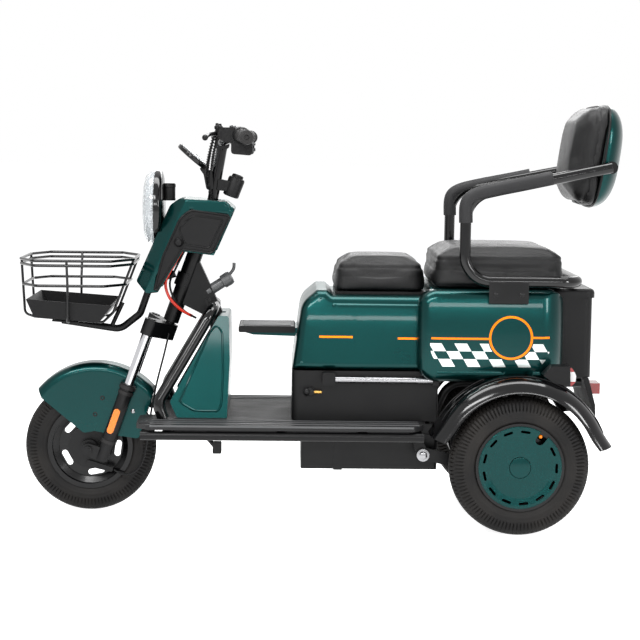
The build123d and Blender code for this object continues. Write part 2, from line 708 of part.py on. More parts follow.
def footboard():
    """Ribbed floor plate, notched at the front for the steered wheel."""
    half = BOARD_WIDTH / 2
    notch_x, notch_y = -446.0, 98.0
    outline = [
        (BOARD_FRONT_X, -half + 30), (BOARD_FRONT_X + 30, -half), (BOARD_REAR_X - 26, -half),
        (BOARD_REAR_X, -half + 30), (BOARD_REAR_X, half - 30), (BOARD_REAR_X - 26, half),
        (BOARD_FRONT_X + 30, half), (BOARD_FRONT_X, half - 30), (BOARD_FRONT_X, notch_y + 20),
        (notch_x, notch_y), (notch_x, -notch_y), (BOARD_FRONT_X, -notch_y - 20),
    ]
    radii = [18, 18, 12, 12, 12, 12, 18, 18, 10, 16, 16, 10]
    plate = plan_slab(outline, radii, BOARD_TOP_Z - BOARD_THICKNESS, BOARD_TOP_Z)
    ribs_area = plan_slab(outline, radii, BOARD_TOP_Z, WALK_Z)
    count = int((BOARD_WIDTH - 30) / RIB_PITCH / 2)
    for index in range(-count, count + 1):
        y = index * RIB_PITCH
        plate += ribs_area & block(BOARD_FRONT_X - 1, BOARD_REAR_X + 1, y - 3, y + 3, BOARD_TOP_Z - 1, WALK_Z)
    return plate - Pos(-304, 0, BOARD_TOP_Z) * Cylinder(18 + CLEARANCE, 40)


def leg_guard():
    """Glossy hoop of bent tube round the leg shield's edge."""
    foot_z = WALK_Z + CLEARANCE
    near = [
        Vector(-310, 0, 580), Vector(-310, -118, 580), Vector(-456, -182, 330), Vector(-440, -182, foot_z),
    ]
    hoop = both(tube(near, [45, 40], GUARD_D))
    hoop -= block(-500, -400, -220, 220, foot_z - 20, foot_z)
    return hoop - block(-400, -200, -18 - CLEARANCE, 18 + CLEARANCE, 540, 620)


def leg_shield():
    """Green leg shield: rounded back edges, narrowing upward, open to the front."""
    def form(inset, front):
        low, top = SHIELD_WIDTH / 2 - inset, SHIELD_TOP_WIDTH / 2 - inset
        z0 = WALK_Z + CLEARANCE
        profile = side_slab(
            [(-424 + front, 330), (-404 + front, z0 + front), (-268 - inset, z0 + front), (-262 - inset, 440),
             (-266 - inset, 562 - inset), (-294 + front, 562 - inset)],
            [12, 8, 1, 60, 8, 6], -low, low)
        taper = extrude(make_face(Polyline(
            (-500, -low, z0 - 200), (-500, low, z0 - 200), (-500, low, z0), (-500, top, 600),
            (-500, -top, 600), (-500, -low, z0), close=True).edges()), amount=400, dir=(1, 0, 0))
        return profile & taper
    outer = form(0, 0)
    inner = form(SHIELD_WALL, -60)
    return outer - inner - block(-340, -278, -18.5, 18.5, 530, 570)


# ------------------------------------------------------------------ body
def body_shell():
    """Green body under the rider's seat, open below and under the seat."""
    half = BODY_WIDTH / 2
    outline = [
        (-92, BODY_SEAM_Z), (-68, 604), (-26, 640), (0, 640), (16, BODY_TOP_Z),
        (REAR_BODY_FRONT_X + 40, BODY_TOP_Z), (REAR_BODY_FRONT_X + 40, BODY_SEAM_Z),
    ]
    solid = side_slab(outline, [4, 60, 12, 6, 6, 2, 2], -half, half)
    long_edges = solid.edges().filter_by(Plane.XZ).group_by(Axis.Y)
    solid = fillet([e for e in long_edges[0] + long_edges[-1] if e.center().Z > BODY_SEAM_Z + 5 and e.center().X < 270], 22)
    wall = BODY_WALL
    inner = side_slab(
        [(-88, BODY_SEAM_Z - 1), (-64, 600), (-24, 635), (0, 635), (14, BODY_TOP_Z - wall),
         (REAR_BODY_FRONT_X + 41, BODY_TOP_Z - wall), (REAR_BODY_FRONT_X + 41, BODY_SEAM_Z - 1)],
        [3, 58, 10, 5, 5, 1, 1], -half + wall, half - wall)
    inner_edges = inner.edges().filter_by(Plane.XZ).group_by(Axis.Y)
    inner = fillet([e for e in inner_edges[0] + inner_edges[-1] if e.center().Z > BODY_SEAM_Z + 5 and e.center().X < 270], 19)
    solid -= inner
    solid -= block(40, 262, -96, 96, BODY_TOP_Z - 20, BODY_TOP_Z + 20)
    tray = side_slab(
        [(-238, 527), (-238, 516), (-200, 506), (-84, 504), (-74, 527)], [2, 6, 20, 2, 2], -80, 80)
    solid += tray
    return solid


def seat_bucket():
    """Storage bucket under the rider's seat."""
    lip_z = BODY_TOP_Z - BODY_WALL - CLEARANCE
    outer = block(42, 260, -94, 94, 470, lip_z)
    outer = fillet(outer.edges().filter_by(Axis.Z), 12)
    inner = block(45, 257, -91, 91, 473, lip_z + 1)
    inner = fillet(inner.edges().filter_by(Axis.Z), 9)
    flange = block(32, 268, -104, 104, lip_z - 3, lip_z)
    return (outer + flange) - inner


def body_skirt():
    """Black skirt between the footboard and the green body."""
    half = SKIRT_WIDTH / 2
    z0, z1 = WALK_Z + CLEARANCE, BODY_SEAM_Z - CLEARANCE
    outline = [(-92, -half), (-92, half), (REAR_BODY_FRONT_X + 60, half), (REAR_BODY_FRONT_X + 60, -half)]
    outer = plan_slab(outline, [20, 20, 4, 4], z0, z1)
    wall = BODY_WALL
    hollow = plan_slab(
        [(-92 + wall, -half + wall), (-92 + wall, half - wall),
         (REAR_BODY_FRONT_X + 61, half - wall), (REAR_BODY_FRONT_X + 61, -half + wall)],
        [16, 16, 2, 2], z0 - 1, z1 + 1)
    skirt = outer - hollow
    sleeve = block(-10, 25, -half - 22, -half + 1, 386, 421)
    sleeve = fillet(sleeve.edges().filter_by(Axis.Y), 6)
    end = block(REAR_BODY_FRONT_X + 44, REAR_BODY_FRONT_X + 60, -half - 22, -half + 1, 388, 414)
    return skirt + both(sleeve + end)


def side_bars():
    """Polished bars along the skirt and the ball-ended release lever."""
    y = SKIRT_WIDTH / 2 + 12
    bar = rod((25 + CLEARANCE, -y, 401), (REAR_BODY_FRONT_X + 44 - CLEARANCE, -y, 401), 16)
    return pair(bar)


def rear_body_form(inset):
    """Outside of the rear body, or the same drawn in by the wall."""
    half = REAR_BODY_WIDTH / 2 - inset
    x0, x1 = REAR_BODY_FRONT_X + inset, REAR_BODY_REAR_X - inset
    z0, z1 = REAR_BODY_LOW_Z + inset, REAR_BODY_TOP_Z - inset
    solid = side_slab(
        [(x0, z0), (x1, z0), (x1, z1), (x0, z1)], [52 - inset, 40 - inset, 46 - inset, 52 - inset],
        -half, half)
    rim = solid.faces().filter_by(Plane.XZ).edges()
    solid = fillet(rim, 24 - inset)
    plan = plan_slab(
        [(x0, -half), (x1, -half), (x1, half), (x0, half)], [30 - inset, 70 - inset, 70 - inset, 30 - inset],
        z0, z1)
    return solid & plan


def rear_body():
    """Green body under the passenger seat, arched over both wheels."""
    half, wall = REAR_BODY_WIDTH / 2, BODY_WALL
    x0, x1, z0, z1 = REAR_BODY_FRONT_X, REAR_BODY_REAR_X, REAR_BODY_LOW_Z, REAR_BODY_TOP_Z
    shell = rear_body_form(0) - rear_body_form(wall)
    shell -= block(x0 + 50, x1 - 40, -half + 22, half - 22, z0 - 1, z0 + wall + 1)
    for side in (-1, 1):
        shell -= cylinder_y(
            REAR_AXLE_X, REAR_TYRE_R, ARCH_R + 1, side * (ARCH_INNER_Y - 8), side * 400)
    inside = BODY_WIDTH / 2 + CLEARANCE
    lip_x = REAR_SEAT_FRONT_X
    shell -= block(x0 - 1, lip_x, -inside, inside, z0 - 1, z1 + 1)
    shell -= block(x0 - 1, x0 + 62, -inside, inside, z0 - 1, BODY_TOP_Z + CLEARANCE)
    shell -= block(x0 - 1, x0 + 64, -inside - 20, inside + 20, z0 - 1, BODY_SEAM_Z + 6)
    shell += block(lip_x, lip_x + wall, -inside - 1, inside + 1, BODY_TOP_Z + CLEARANCE, z1 - 1)
    opening = BOX_WIDTH / 2 + 4 + CLEARANCE
    shell -= block(BOX_FRONT_X - CLEARANCE, 700, -opening, opening, z0 - 10, z1 + 10)
    return shell


def battery_box():
    """Under-floor battery box: the vehicle's heaviest piece."""
    half = BATTERY_WIDTH / 2
    top = FRAME_LOW_Z - CLEARANCE
    box = block(BATTERY_X0, BATTERY_X1, -half, half, BATTERY_LOW_Z, top)
    box = fillet(box.edges().filter_by(Axis.Z), 8)
    strap = block(24, 48, -half - 2, half + 2, BATTERY_LOW_Z - 3, top)
    return box + strap


def rear_axle():
    """Axle tubes, differential housing and the drive motor in one unit."""
    y = REAR_TRACK / 2 - 34 - 1
    axle = cylinder_y(REAR_AXLE_X, REAR_TYRE_R, 22, -y, y)
    axle += cylinder_y(REAR_AXLE_X, REAR_TYRE_R, HALFSHAFT_D / 2, -y - 49, y + 49)
    diff = cylinder_y(REAR_AXLE_X, REAR_TYRE_R, 62, -20, 70)
    diff = fillet(diff.edges(), 10)
    motor = cylinder_y(REAR_AXLE_X - 104, REAR_TYRE_R + 32, 66, -110, 40)
    motor = fillet(motor.edges(), 6)
    web = block(REAR_AXLE_X - 100, REAR_AXLE_X, 0, 40, REAR_TYRE_R - 20, REAR_TYRE_R + 50)
    for side in (-1, 1):
        axle += cylinder_y(REAR_AXLE_X, REAR_TYRE_R, 48, side * (y - 14), side * y)
    return axle + diff + motor + web


def rear_suspension():
    """Trailing arms under the axle and coil-over shocks."""
    arm_y = 188.0
    seat_z = REAR_TYRE_R - 22 - CLEARANCE
    arm = side_slab(
        [(252, 212), (278, 214), (REAR_AXLE_X - 34, seat_z), (REAR_AXLE_X + 30, seat_z),
         (REAR_AXLE_X + 30, 143), (REAR_AXLE_X - 60, 143), (252, 184)],
        [8, 8, 20, 6, 6, 20, 8], -arm_y - 6, -arm_y + 6)
    hanger_z = FRAME_LOW_Z + 4 - CLEARANCE
    hanger = side_slab(
        [(234, hanger_z), (256, hanger_z), (284, 200), (280, 186), (250, 186)], [1, 1, 8, 8, 8],
        -arm_y - 14, -arm_y - 8)
    bolt = cylinder_y(265, 198, 6, -arm_y - 22, -arm_y + 8)
    shock = rod(
        (REAR_AXLE_X + 4, -150, REAR_TYRE_R + 22 + CLEARANCE), (REAR_AXLE_X + 4, -150, 376 - CLEARANCE), 40)
    return Compound(children=[
        *pair(arm + hanger + bolt).solids(), *pair(shock).solids()])


def rear_fenders():
    """Black wheel arches with a side flange and a flared tip."""
    y0, y1, wall = -ARCH_OUTER_Y, -ARCH_INNER_Y, ARCH_WALL
    face = make_face(FilletPolyline(
        (ARCH_INNER_R, y0), (ARCH_R, y0), (ARCH_R, y1), (ARCH_R - wall, y1),
        (ARCH_R - wall, y0 + wall), (ARCH_INNER_R, y0 + wall),
        radius=[1, 9, 1, 1, 6, 1], close=True).edges())
    arc = ARCH_FRONT_ANGLE - ARCH_REAR_ANGLE
    arch = revolve(face, axis=Axis.Y, revolution_arc=arc)
    arch = Rot(0, -ARCH_FRONT_ANGLE, 0) * arch
    arch = Pos(REAR_AXLE_X, 0, REAR_TYRE_R) * arch
    return pair(arch)


def tail_panels():
    """Lamp housings on the arches and the panel between them."""
    lamp = side_slab(
        [(573, 430), (596, 455), (644, 455), (646, 400), (600, 412)], [3, 6, 3, 3, 20], -302, -REAR_BODY_WIDTH / 2 - CLEARANCE)
    lamp -= cylinder_y(REAR_AXLE_X, REAR_TYRE_R, ARCH_R + CLEARANCE, -320, -200)
    panel = side_slab(
        [(BOX_REAR_X - 24, BOX_LOW_Z - CLEARANCE), (BOX_REAR_X - 8, BOX_LOW_Z - CLEARANCE), (BOX_REAR_X + 12, 330), (BOX_REAR_X + 14, 280),
         (BOX_REAR_X + 10, 280), (BOX_REAR_X, 330)], [1, 1, 20, 1, 1, 20], -150, 150)
    return Compound(children=[*pair(lamp).solids(), *panel.solids()])


def tail_lenses():
    lens = side_slab([(644.3, 452), (652, 448), (662, 430), (660, 412), (650, 402), (646.3, 402)], [1, 6, 10, 8, 4, 1], -294, -REAR_BODY_WIDTH / 2 - 8)
    centre = Pos(BOX_REAR_X + 26.1, 0, 360) * Box(36, 70, 30)
    return Compound(children=[*pair(lens).solids(), *centre.solids()])


def tail_box():
    """Storage tub behind the passenger seat."""
    half = BOX_WIDTH / 2
    outer = block(BOX_FRONT_X, BOX_REAR_X, -half, half, BOX_LOW_Z, BOX_TOP_Z)
    outer = fillet(outer.edges().filter_by(Axis.Z), 24)
    return outer


def tail_box_cover():
    half = BOX_WIDTH / 2 + 4
    z0 = BOX_TOP_Z + CLEARANCE
    cover = block(BOX_FRONT_X, BOX_REAR_X + 6, -half, half, z0, z0 + BOX_LID)
    cover = fillet(cover.edges().filter_by(Axis.Z), 26)
    cover = fillet(cover.faces().sort_by(Axis.Z)[-1].edges(), 12)
    return cover


# ------------------------------------------------------------------ seats and armrest
def cushion(x0, x1, width, z0, z1, corner, edge):
    pad = block(x0, x1, -width / 2, width / 2, z0, z1)
    pad = fillet(pad.edges().filter_by(Axis.Z), corner)
    return fillet(pad.faces().sort_by(Axis.Z)[-1].edges(), edge)


def front_seat():
    return cushion(FRONT_SEAT_FRONT_X, FRONT_SEAT_REAR_X, FRONT_SEAT_WIDTH, 634, SEAT_TOP_Z, 34, 16)


def front_seat_base():
    """Seat pan with its front hinge knuckle."""
    pan = block(FRONT_SEAT_FRONT_X + 6, FRONT_SEAT_REAR_X - 4, -122, 122, BODY_TOP_Z + 0.7, 634 - CLEARANCE)
    return pan


def rear_seat():
    return cushion(REAR_SEAT_FRONT_X, REAR_SEAT_REAR_X, REAR_SEAT_WIDTH, REAR_BODY_TOP_Z + CLEARANCE, REAR_SEAT_TOP_Z, 34, 18)


def arm_points():
    half = ARM_SPAN / 2
    return [
        Vector(ARM_REAR_X, 0, ARM_LOW_Z), Vector(ARM_REAR_X, -half, ARM_LOW_Z),
        Vector(ARM_FRONT_X, -half, ARM_LOW_Z), Vector(ARM_FRONT_X + 1, -half, 899),
        Vector(760, -BACKREST_WIDTH / 2 - 17, 979.5),
    ]


def arm_frame():
    """Armrest: one bent tube round the seat, up and back to the backrest."""
    side = tube(arm_points(), [55, 72, 78], ARM_TUBE_D)
    face_y = REAR_BODY_WIDTH / 2 + CLEARANCE
    plate = block(430, 536, -face_y - 4, -face_y, 616, ARM_LOW_Z)
    plate += block(430, 536, -face_y - 4, -ARM_SPAN / 2, ARM_LOW_Z - 4, ARM_LOW_Z)
    boss = cylinder_y(760, 979.5, 17, -BACKREST_WIDTH / 2 - 20, -BACKREST_WIDTH / 2 - CLEARANCE)
    return both(side + plate + boss)


def backrest_block(width, height, depth, rounding):
    """A rounded slab standing on the backrest's parting plane."""
    tilt = radians(BACKREST_TILT)
    plane = Plane(
        origin=(BACKREST_X + (CLEARANCE if depth > 0 else 0), 0, BACKREST_Z),
        x_dir=(0, 1, 0), z_dir=(cos(tilt), 0, -sin(tilt)))
    slab = extrude(plane * RectangleRounded(width, height, 70), amount=depth)
    far = Axis((0, 0, 0), (plane.z_dir if depth > 0 else -plane.z_dir))
    return fillet(slab.faces().sort_by(far)[-1].edges(), rounding)


def backrest_cushion():
    return backrest_block(BACKREST_WIDTH - 6, BACKREST_HEIGHT, -BACKREST_PAD, 26)


def backrest_shell():
    return backrest_block(BACKREST_WIDTH, BACKREST_HEIGHT - 8, BACKREST_SHELL, 40)


BUILDERS = {
    "main_frame": main_frame,
    "footboard": footboard,
    "leg_guard": leg_guard,
    "leg_shield": leg_shield,
    "body_shell": body_shell,
    "body_skirt": body_skirt,
    "seat_bucket": seat_bucket,
    "side_bars": side_bars,
    "rear_body": rear_body,
    "battery_box": battery_box,
    "rear_axle": rear_axle,
    "rear_suspension": rear_suspension,
    "rear_fenders": rear_fenders,
    "tail_panels": tail_panels,
    "tail_lenses": tail_lenses,
    "tail_box": tail_box,
    "tail_box_cover": tail_box_cover,
    "rear_seat": rear_seat,
    "arm_frame": arm_frame,
    "backrest_shell": backrest_shell,
    "backrest_cushion": backrest_cushion,
    "front_seat": front_seat,
    "front_seat_base": front_seat_base,
    "fork_castings": fork_castings,
    "fork_stanchions": fork_stanchions,
    "fork_reflectors": fork_reflectors,
    "front_brake": front_brake,
    "front_fender": front_fender,
    "handlebar": handlebar,
    "grips": grips,
    "bar_controls": bar_controls,
    "brake_levers": brake_levers,
    "instrument": instrument,
    "front_cowl": front_cowl,
    "cowl_panels": cowl_panels,
    "headlight_housing": headlight_housing,
    "headlight_lens": headlight_lens,
    "basket": basket,
    "basket_tray": basket_tray,
    "basket_bracket": basket_bracket,
    "front_tyre": front_tyre,
    "front_rim": front_rim,
}
for name, make in (("tyre", rear_tyre), ("rim", rear_rim), ("hubcap", hubcap)):
    BUILDERS[f"rear_{name}_left"] = make
    BUILDERS[f"rear_{name}_right"] = lambda make=make: mirror(make(), about=Plane.XZ)


def main():
    """Builds every piece, centres the vehicle over the origin and writes the files."""
    shapes = {name: make() for name, make in BUILDERS.items()}
    box = Compound(children=[shape.solids()[0] for shape in shapes.values()]).bounding_box()
    middle = (min(s.bounding_box().min.X for s in shapes.values())
              + max(s.bounding_box().max.X for s in shapes.values())) / 2
    os.makedirs("parts", exist_ok=True)
    for name, shape in shapes.items():
        export_step(Pos(-middle, 0, 0) * shape, f"parts/{name}.step")
    print("moved back by", round(middle, 3), "so that the origin is at the middle")


main()
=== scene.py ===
import bmesh
import bpy
import json
import math
from mathutils import Matrix, Vector


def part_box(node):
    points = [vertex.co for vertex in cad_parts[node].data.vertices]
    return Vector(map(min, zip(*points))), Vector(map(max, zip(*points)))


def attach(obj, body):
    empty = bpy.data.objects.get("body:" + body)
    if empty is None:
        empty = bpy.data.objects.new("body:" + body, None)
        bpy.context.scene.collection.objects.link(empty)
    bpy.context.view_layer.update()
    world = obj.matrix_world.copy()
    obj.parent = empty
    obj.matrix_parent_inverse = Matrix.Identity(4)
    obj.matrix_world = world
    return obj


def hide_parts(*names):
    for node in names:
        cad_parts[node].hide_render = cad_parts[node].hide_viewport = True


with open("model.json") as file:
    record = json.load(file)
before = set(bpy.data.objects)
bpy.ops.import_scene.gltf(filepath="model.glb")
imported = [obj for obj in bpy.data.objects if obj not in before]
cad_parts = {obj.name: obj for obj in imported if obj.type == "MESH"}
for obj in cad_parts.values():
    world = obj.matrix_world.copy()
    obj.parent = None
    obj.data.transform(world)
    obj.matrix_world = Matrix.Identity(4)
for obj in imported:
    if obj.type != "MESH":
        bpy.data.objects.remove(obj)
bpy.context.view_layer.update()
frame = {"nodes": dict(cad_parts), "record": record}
NODES = frame["nodes"]

# Source places are in millimetres: X to the rear, Y to the rider's right, Z up from the ground.
SHIFT = 6.028                    # the frame's X is the source's X plus this


def at(x, y, z):
    """A point of the source, in millimetres, as a point of the frame in metres."""
    return Vector(((x + SHIFT) / 1000, y / 1000, z / 1000))


# ---------- driving places and directions
RAKE = math.radians(19.5)        # lean of the steering axis
STEER_X, STEER_Z = -390, 653     # a point of the steering axis
LEG_AHEAD, LEG_SIDE = 48, 75     # a fork leg, ahead of and beside that axis
AXLE_X, AXLE_Z = 514, 187        # rear axle
DIAL_TILT = math.radians(40)
BACK_TILT = math.radians(8)

LEFT, RIGHT = Vector((0, -1, 0)), Vector((0, 1, 0))
AHEAD, REARWARD = Vector((-1, 0, 0)), Vector((1, 0, 0))
UP = Vector((0, 0, 1))
FORK_UP = Vector((math.sin(RAKE), 0, math.cos(RAKE)))
DIAL_OUT = Vector((math.sin(DIAL_TILT), 0, math.cos(DIAL_TILT)))
BACK_OUT = Vector((math.cos(BACK_TILT), 0, -math.sin(BACK_TILT)))
BACK_UP = Vector((math.sin(BACK_TILT), 0, math.cos(BACK_TILT)))
LAMP = at(-474, 0, 852)                          # middle of the head lamp's seat
DIAL = at(-377, 0, 988) + DIAL_OUT * 0.0141      # middle of the instrument's top
BACKREST = at(745, 0, 1008) + BACK_OUT * 0.0006  # middle of the shell's open side


# ---------- materials
def linear(red, green, blue):
    """sRGB bytes to linear values."""
    out = []
    for value in (red, green, blue):
        c = value / 255
        out.append(c / 12.92 if c <= 0.04045 else ((c + 0.055) / 1.055) ** 2.4)
    return tuple(out) + (1.0,)


GREEN = linear(2, 50, 49)
ORANGE = linear(250, 128, 10)
CHECK_WHITE = linear(222, 230, 228)


class Shader:
    """A small builder round one Principled material."""

    def __init__(self, name, base, rough, metal=0.0, coat=0.0, coat_rough=0.08, **extra):
        self.mat = bpy.data.materials.new(name)
        self.mat.use_nodes = True
        self.tree = self.mat.node_tree
        self.bsdf = self.tree.nodes["Principled BSDF"]
        self.coords = self.add("ShaderNodeTexCoord").outputs["Object"]
        self.set(**{"Base Color": base, "Roughness": rough, "Metallic": metal,
                    "Coat Weight": coat, "Coat Roughness": coat_rough})
        self.set(**extra)
        self.colour = base
        self.normal = None

    def set(self, **values):
        """Sets sockets of the Principled node."""
        for key, value in values.items():
            self.bsdf.inputs[key].default_value = value

    def add(self, kind, **values):
        """A new node with these settings."""
        node = self.tree.nodes.new(kind)
        for key, value in values.items():
            setattr(node, key, value)
        return node

    def link(self, source, target):
        self.tree.links.new(source, target)

    def noise(self, scale, detail=3.0):
        """Cloudy noise over the object's own coordinates."""
        node = self.add("ShaderNodeTexNoise")
        node.inputs["Scale"].default_value = scale
        node.inputs["Detail"].default_value = detail
        self.link(self.coords, node.inputs["Vector"])
        return node.outputs["Fac"]

    def cells(self, scale):
        """Distance to the nearest edge in a pattern of cells."""
        node = self.add("ShaderNodeTexVoronoi", feature="DISTANCE_TO_EDGE")
        node.inputs["Scale"].default_value = scale
        self.link(self.coords, node.inputs["Vector"])
        return node.outputs["Distance"]

    def remap(self, source, low, high, start=0.3, end=0.7):
        """The source's range from start to end, spread from low to high."""
        node = self.add("ShaderNodeMapRange")
        for key, value in (("From Min", start), ("From Max", end), ("To Min", low), ("To Max", high)):
            node.inputs[key].default_value = value
        self.link(source, node.inputs["Value"])
        return node.outputs["Result"]

    def rough_by(self, source, low, high):
        """Roughness that wanders between two values."""
        self.link(self.remap(source, low, high), self.bsdf.inputs["Roughness"])

    def tint(self, source, other, amount=1.0):
        """Mixes the base colour towards another one by a 0..1 source."""
        node = self.add("ShaderNodeMix", data_type="RGBA")
        self.link(self.math("MULTIPLY", source, amount), node.inputs["Factor"])
        if isinstance(self.colour, tuple):
            node.inputs["A"].default_value = self.colour
        else:
            self.link(self.colour, node.inputs["A"])
        node.inputs["B"].default_value = other
        self.colour = node.outputs["Result"]
        self.link(self.colour, self.bsdf.inputs["Base Color"])

    def math(self, operation, a, b=0.0):
        """One arithmetic node over numbers or sockets."""
        node = self.add("ShaderNodeMath", operation=operation)
        for socket, value in zip(node.inputs, (a, b)):
            if isinstance(value, (int, float)):
                socket.default_value = value
            else:
                self.link(value, socket)
        return node.outputs["Value"]

    def bump(self, source, distance, strength=1.0):
        """Fine relief, added over any relief already there."""
        node = self.add("ShaderNodeBump")
        node.inputs["Distance"].default_value = distance
        node.inputs["Strength"].default_value = strength
        self.link(source, node.inputs["Height"])
        if self.normal is not None:
            self.link(self.normal, node.inputs["Normal"])
        self.normal = node.outputs["Normal"]
        self.link(self.normal, self.bsdf.inputs["Normal"])

    def axes(self):
        """The object's X, Y and Z in metres."""
        node = self.add("ShaderNodeSeparateXYZ")
        self.link(self.coords, node.inputs["Vector"])
        return node.outputs["X"], node.outputs["Y"], node.outputs["Z"]

    def between(self, value, low, high):
        """1 where the value lies between low and high."""
        above = self.math("GREATER_THAN", value, low)
        below = self.math("LESS_THAN", value, high)
        return self.math("MULTIPLY", above, below)

    def all_of(self, *masks):
        """1 where every mask is 1."""
        result = masks[0]
        for mask in masks[1:]:
            result = self.math("MULTIPLY", result, mask)
        return result

    def away(self, reach):
        """1 on the flanks, where the distance from the middle plane is above reach."""
        return self.math("GREATER_THAN", self.math("ABSOLUTE", self.axes()[1]), reach)


def green_paint(name):
    """Deep metallic teal under a thin clear coat."""
    paint = Shader(name, GREEN, 0.3, metal=0.85, coat=0.25, coat_rough=0.06)
    paint.set(**{"Specular IOR Level": 0.15})
    paint.tint(paint.remap(paint.noise(1400.0, 2.0), 0.0, 1.0, 0.5, 0.8), linear(20, 140, 132), 0.15)
    paint.tint(paint.remap(paint.noise(3.0), 0.0, 1.0, 0.35, 0.7), linear(1, 44, 44), 0.35)
    paint.rough_by(paint.noise(6.0, 4.0), 0.26, 0.35)
    paint.bump(paint.noise(55.0, 2.0), 0.0004, 0.2)
    return paint


def black(name, rough, base, coat=0.0, grain=0.0, scale=700.0, spec=0.25):
    """A black finish with uneven gloss, faint wear and an optional fine grain."""
    shader = Shader(name, linear(*base), rough, coat=coat, **{"Specular IOR Level": spec})
    shader.rough_by(shader.noise(14.0, 4.0), rough - 0.05, rough + 0.07)
    worn = linear(*[value + 6 for value in base])
    shader.tint(shader.remap(shader.noise(5.0, 5.0), 0.0, 1.0, 0.45, 0.75), worn, 0.5)
    if grain:
        shader.bump(shader.noise(scale, 2.0), grain, 0.6)
    return shader


def plain(name, base, rough, **extra):
    """A plain finish with uneven gloss."""
    shader = Shader(name, linear(*base), rough, **extra)
    shader.rough_by(shader.noise(30.0, 4.0), rough * 0.8, rough * 1.3)
    return shader


def glass(name, base, rough, coat, index):
    """A clear moulded lens."""
    return plain(name, base, rough, coat=coat, **{"Transmission Weight": 0.8, "IOR": index})


def dusty_tyre():
    """Black rubber with pale road dust in patches."""
    shader = black("tyre_rubber", 0.55, (14, 13, 13), grain=0.0004, scale=600.0, spec=0.2)
    shader.tint(shader.remap(shader.noise(9.0, 5.0), 0.0, 1.0, 0.4, 0.7), linear(44, 41, 38), 0.5)
    return shader


def grained_leather():
    """Black seat cover with a fine pebble grain."""
    shader = black("seat_cover", 0.36, (8, 8, 9), spec=0.26)
    shader.bump(shader.remap(shader.cells(420.0), 0.0, 1.0, 0.0, 0.18), 0.0004, 0.55)
    return shader


def honeycomb_paint():
    """The green paint over the hub covers' moulded honeycomb."""
    shader = green_paint("hubcap_paint")
    shader.bump(shader.remap(shader.cells(190.0), 0.0, 1.0, 0.0, 0.2), 0.0005, 0.6)
    return shader


def banded_lens():
    """Red tail lens, pale across the middle band of the outer lamps."""
    shader = plain("tail_lens", (150, 10, 10), 0.14, coat=0.5)
    band = shader.between(shader.axes()[2], 0.414, 0.44)
    shader.tint(shader.all_of(shader.away(0.2), band), linear(214, 212, 212))
    return shader


MAT = {
    "green": green_paint("green_paint"),
    "gloss": black("gloss_black", 0.11, (3, 3, 4), spec=0.4),
    "satin": black("satin_black", 0.33, (5, 5, 6), grain=0.0002, scale=400.0, spec=0.22),
    "plastic": black("grained_plastic", 0.42, (9, 9, 10), grain=0.0004, scale=900.0, spec=0.2),
    "board": black("floor_plastic", 0.4, (36, 36, 37), grain=0.0003, scale=800.0, spec=0.22),
    "cast": black("cast_metal", 0.38, (8, 8, 9), grain=0.0005, scale=500.0),
    "rubber": black("grip_rubber", 0.45, (34, 33, 33), grain=0.0003, scale=1200.0),
    "tyre": dusty_tyre(),
    "leather": grained_leather(),
    "sleeve": black("arm_sleeve", 0.55, (42, 42, 43), grain=0.0004, scale=900.0, spec=0.2),
    "rim": black("rim_black", 0.24, (5, 5, 6), coat=0.1, spec=0.22),
    "chrome": plain("chrome", (205, 205, 208), 0.14, metal=1.0),
    "steel": plain("zinc_steel", (150, 150, 152), 0.26, metal=1.0),
    "brass": plain("brass", (190, 150, 80), 0.28, metal=1.0),
    "amber": plain("amber_reflector", (250, 132, 6), 0.25, coat=0.4),
    "red": plain("red_lens", (165, 14, 12), 0.15, coat=0.6),
    "cable_red": plain("harness_red", (214, 44, 20), 0.35, coat=0.3),
    "clear": glass("clear_lens", (232, 236, 238), 0.08, 0.4, 1.35),
    "milky": glass("lamp_glass", (236, 239, 241), 0.07, 0.6, 1.3),
    "white": plain("white_plastic", (225, 226, 226), 0.35),
    "grey": plain("grey_plastic", (78, 79, 80), 0.4),
    "hub": honeycomb_paint(),
    "tail": banded_lens(),
}

FINISH = {
    "paint_green": "green", "frame_black": "satin", "gloss_black": "gloss", "plastic_black": "plastic",
    "board_grey": "board", "cast_grey": "cast", "chrome_tube": "chrome", "polished_bar": "steel",
    "lever_alloy": "satin", "grip_rubber": "rubber", "tyre_rubber": "tyre", "rim_black": "rim",
    "seat_black": "leather", "lens_clear": "clear", "lens_red": "red", "reflector_orange": "amber",
}
SPECIAL = {"rear_hubcap_left": "hub", "rear_hubcap_right": "hub", "tail_lenses": "tail"}


def paint(obj, key):
    """Gives the object a material, by its key in MAT or as a Shader."""
    obj.data.materials.clear()
    obj.data.materials.append(MAT[key].mat if isinstance(key, str) else key.mat)


def place(name, mesh, key, body, sharp=38):
    """Makes a smooth-shaded object of a mesh and lets it ride on a body."""
    obj = bpy.data.objects.new(name, mesh)
    bpy.context.scene.collection.objects.link(obj)
    mesh.shade_smooth()
    mesh.set_sharp_from_angle(angle=math.radians(sharp))
    paint(obj, key)
    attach(obj, body)
    return obj


for part in frame["record"]["subparts"]:
    paint(NODES[part["node"]], SPECIAL.get(part["node"], FINISH[part["material_slot"]]))


# ---------- markings, in metres
LINE_HIGH = 0.0055
RING_X, RING_Z, RING_R, RING_WIDE = 0.498, 0.524, 0.059, 0.006
ROW, CELL, SLANT = 0.021, 0.034, 0.6      # a check's height, its length and the columns' slant
BAND_START, BAND_END, BAND_LOW = 0.282, 0.604, 0.445
BAND_HIGH = 3 * ROW


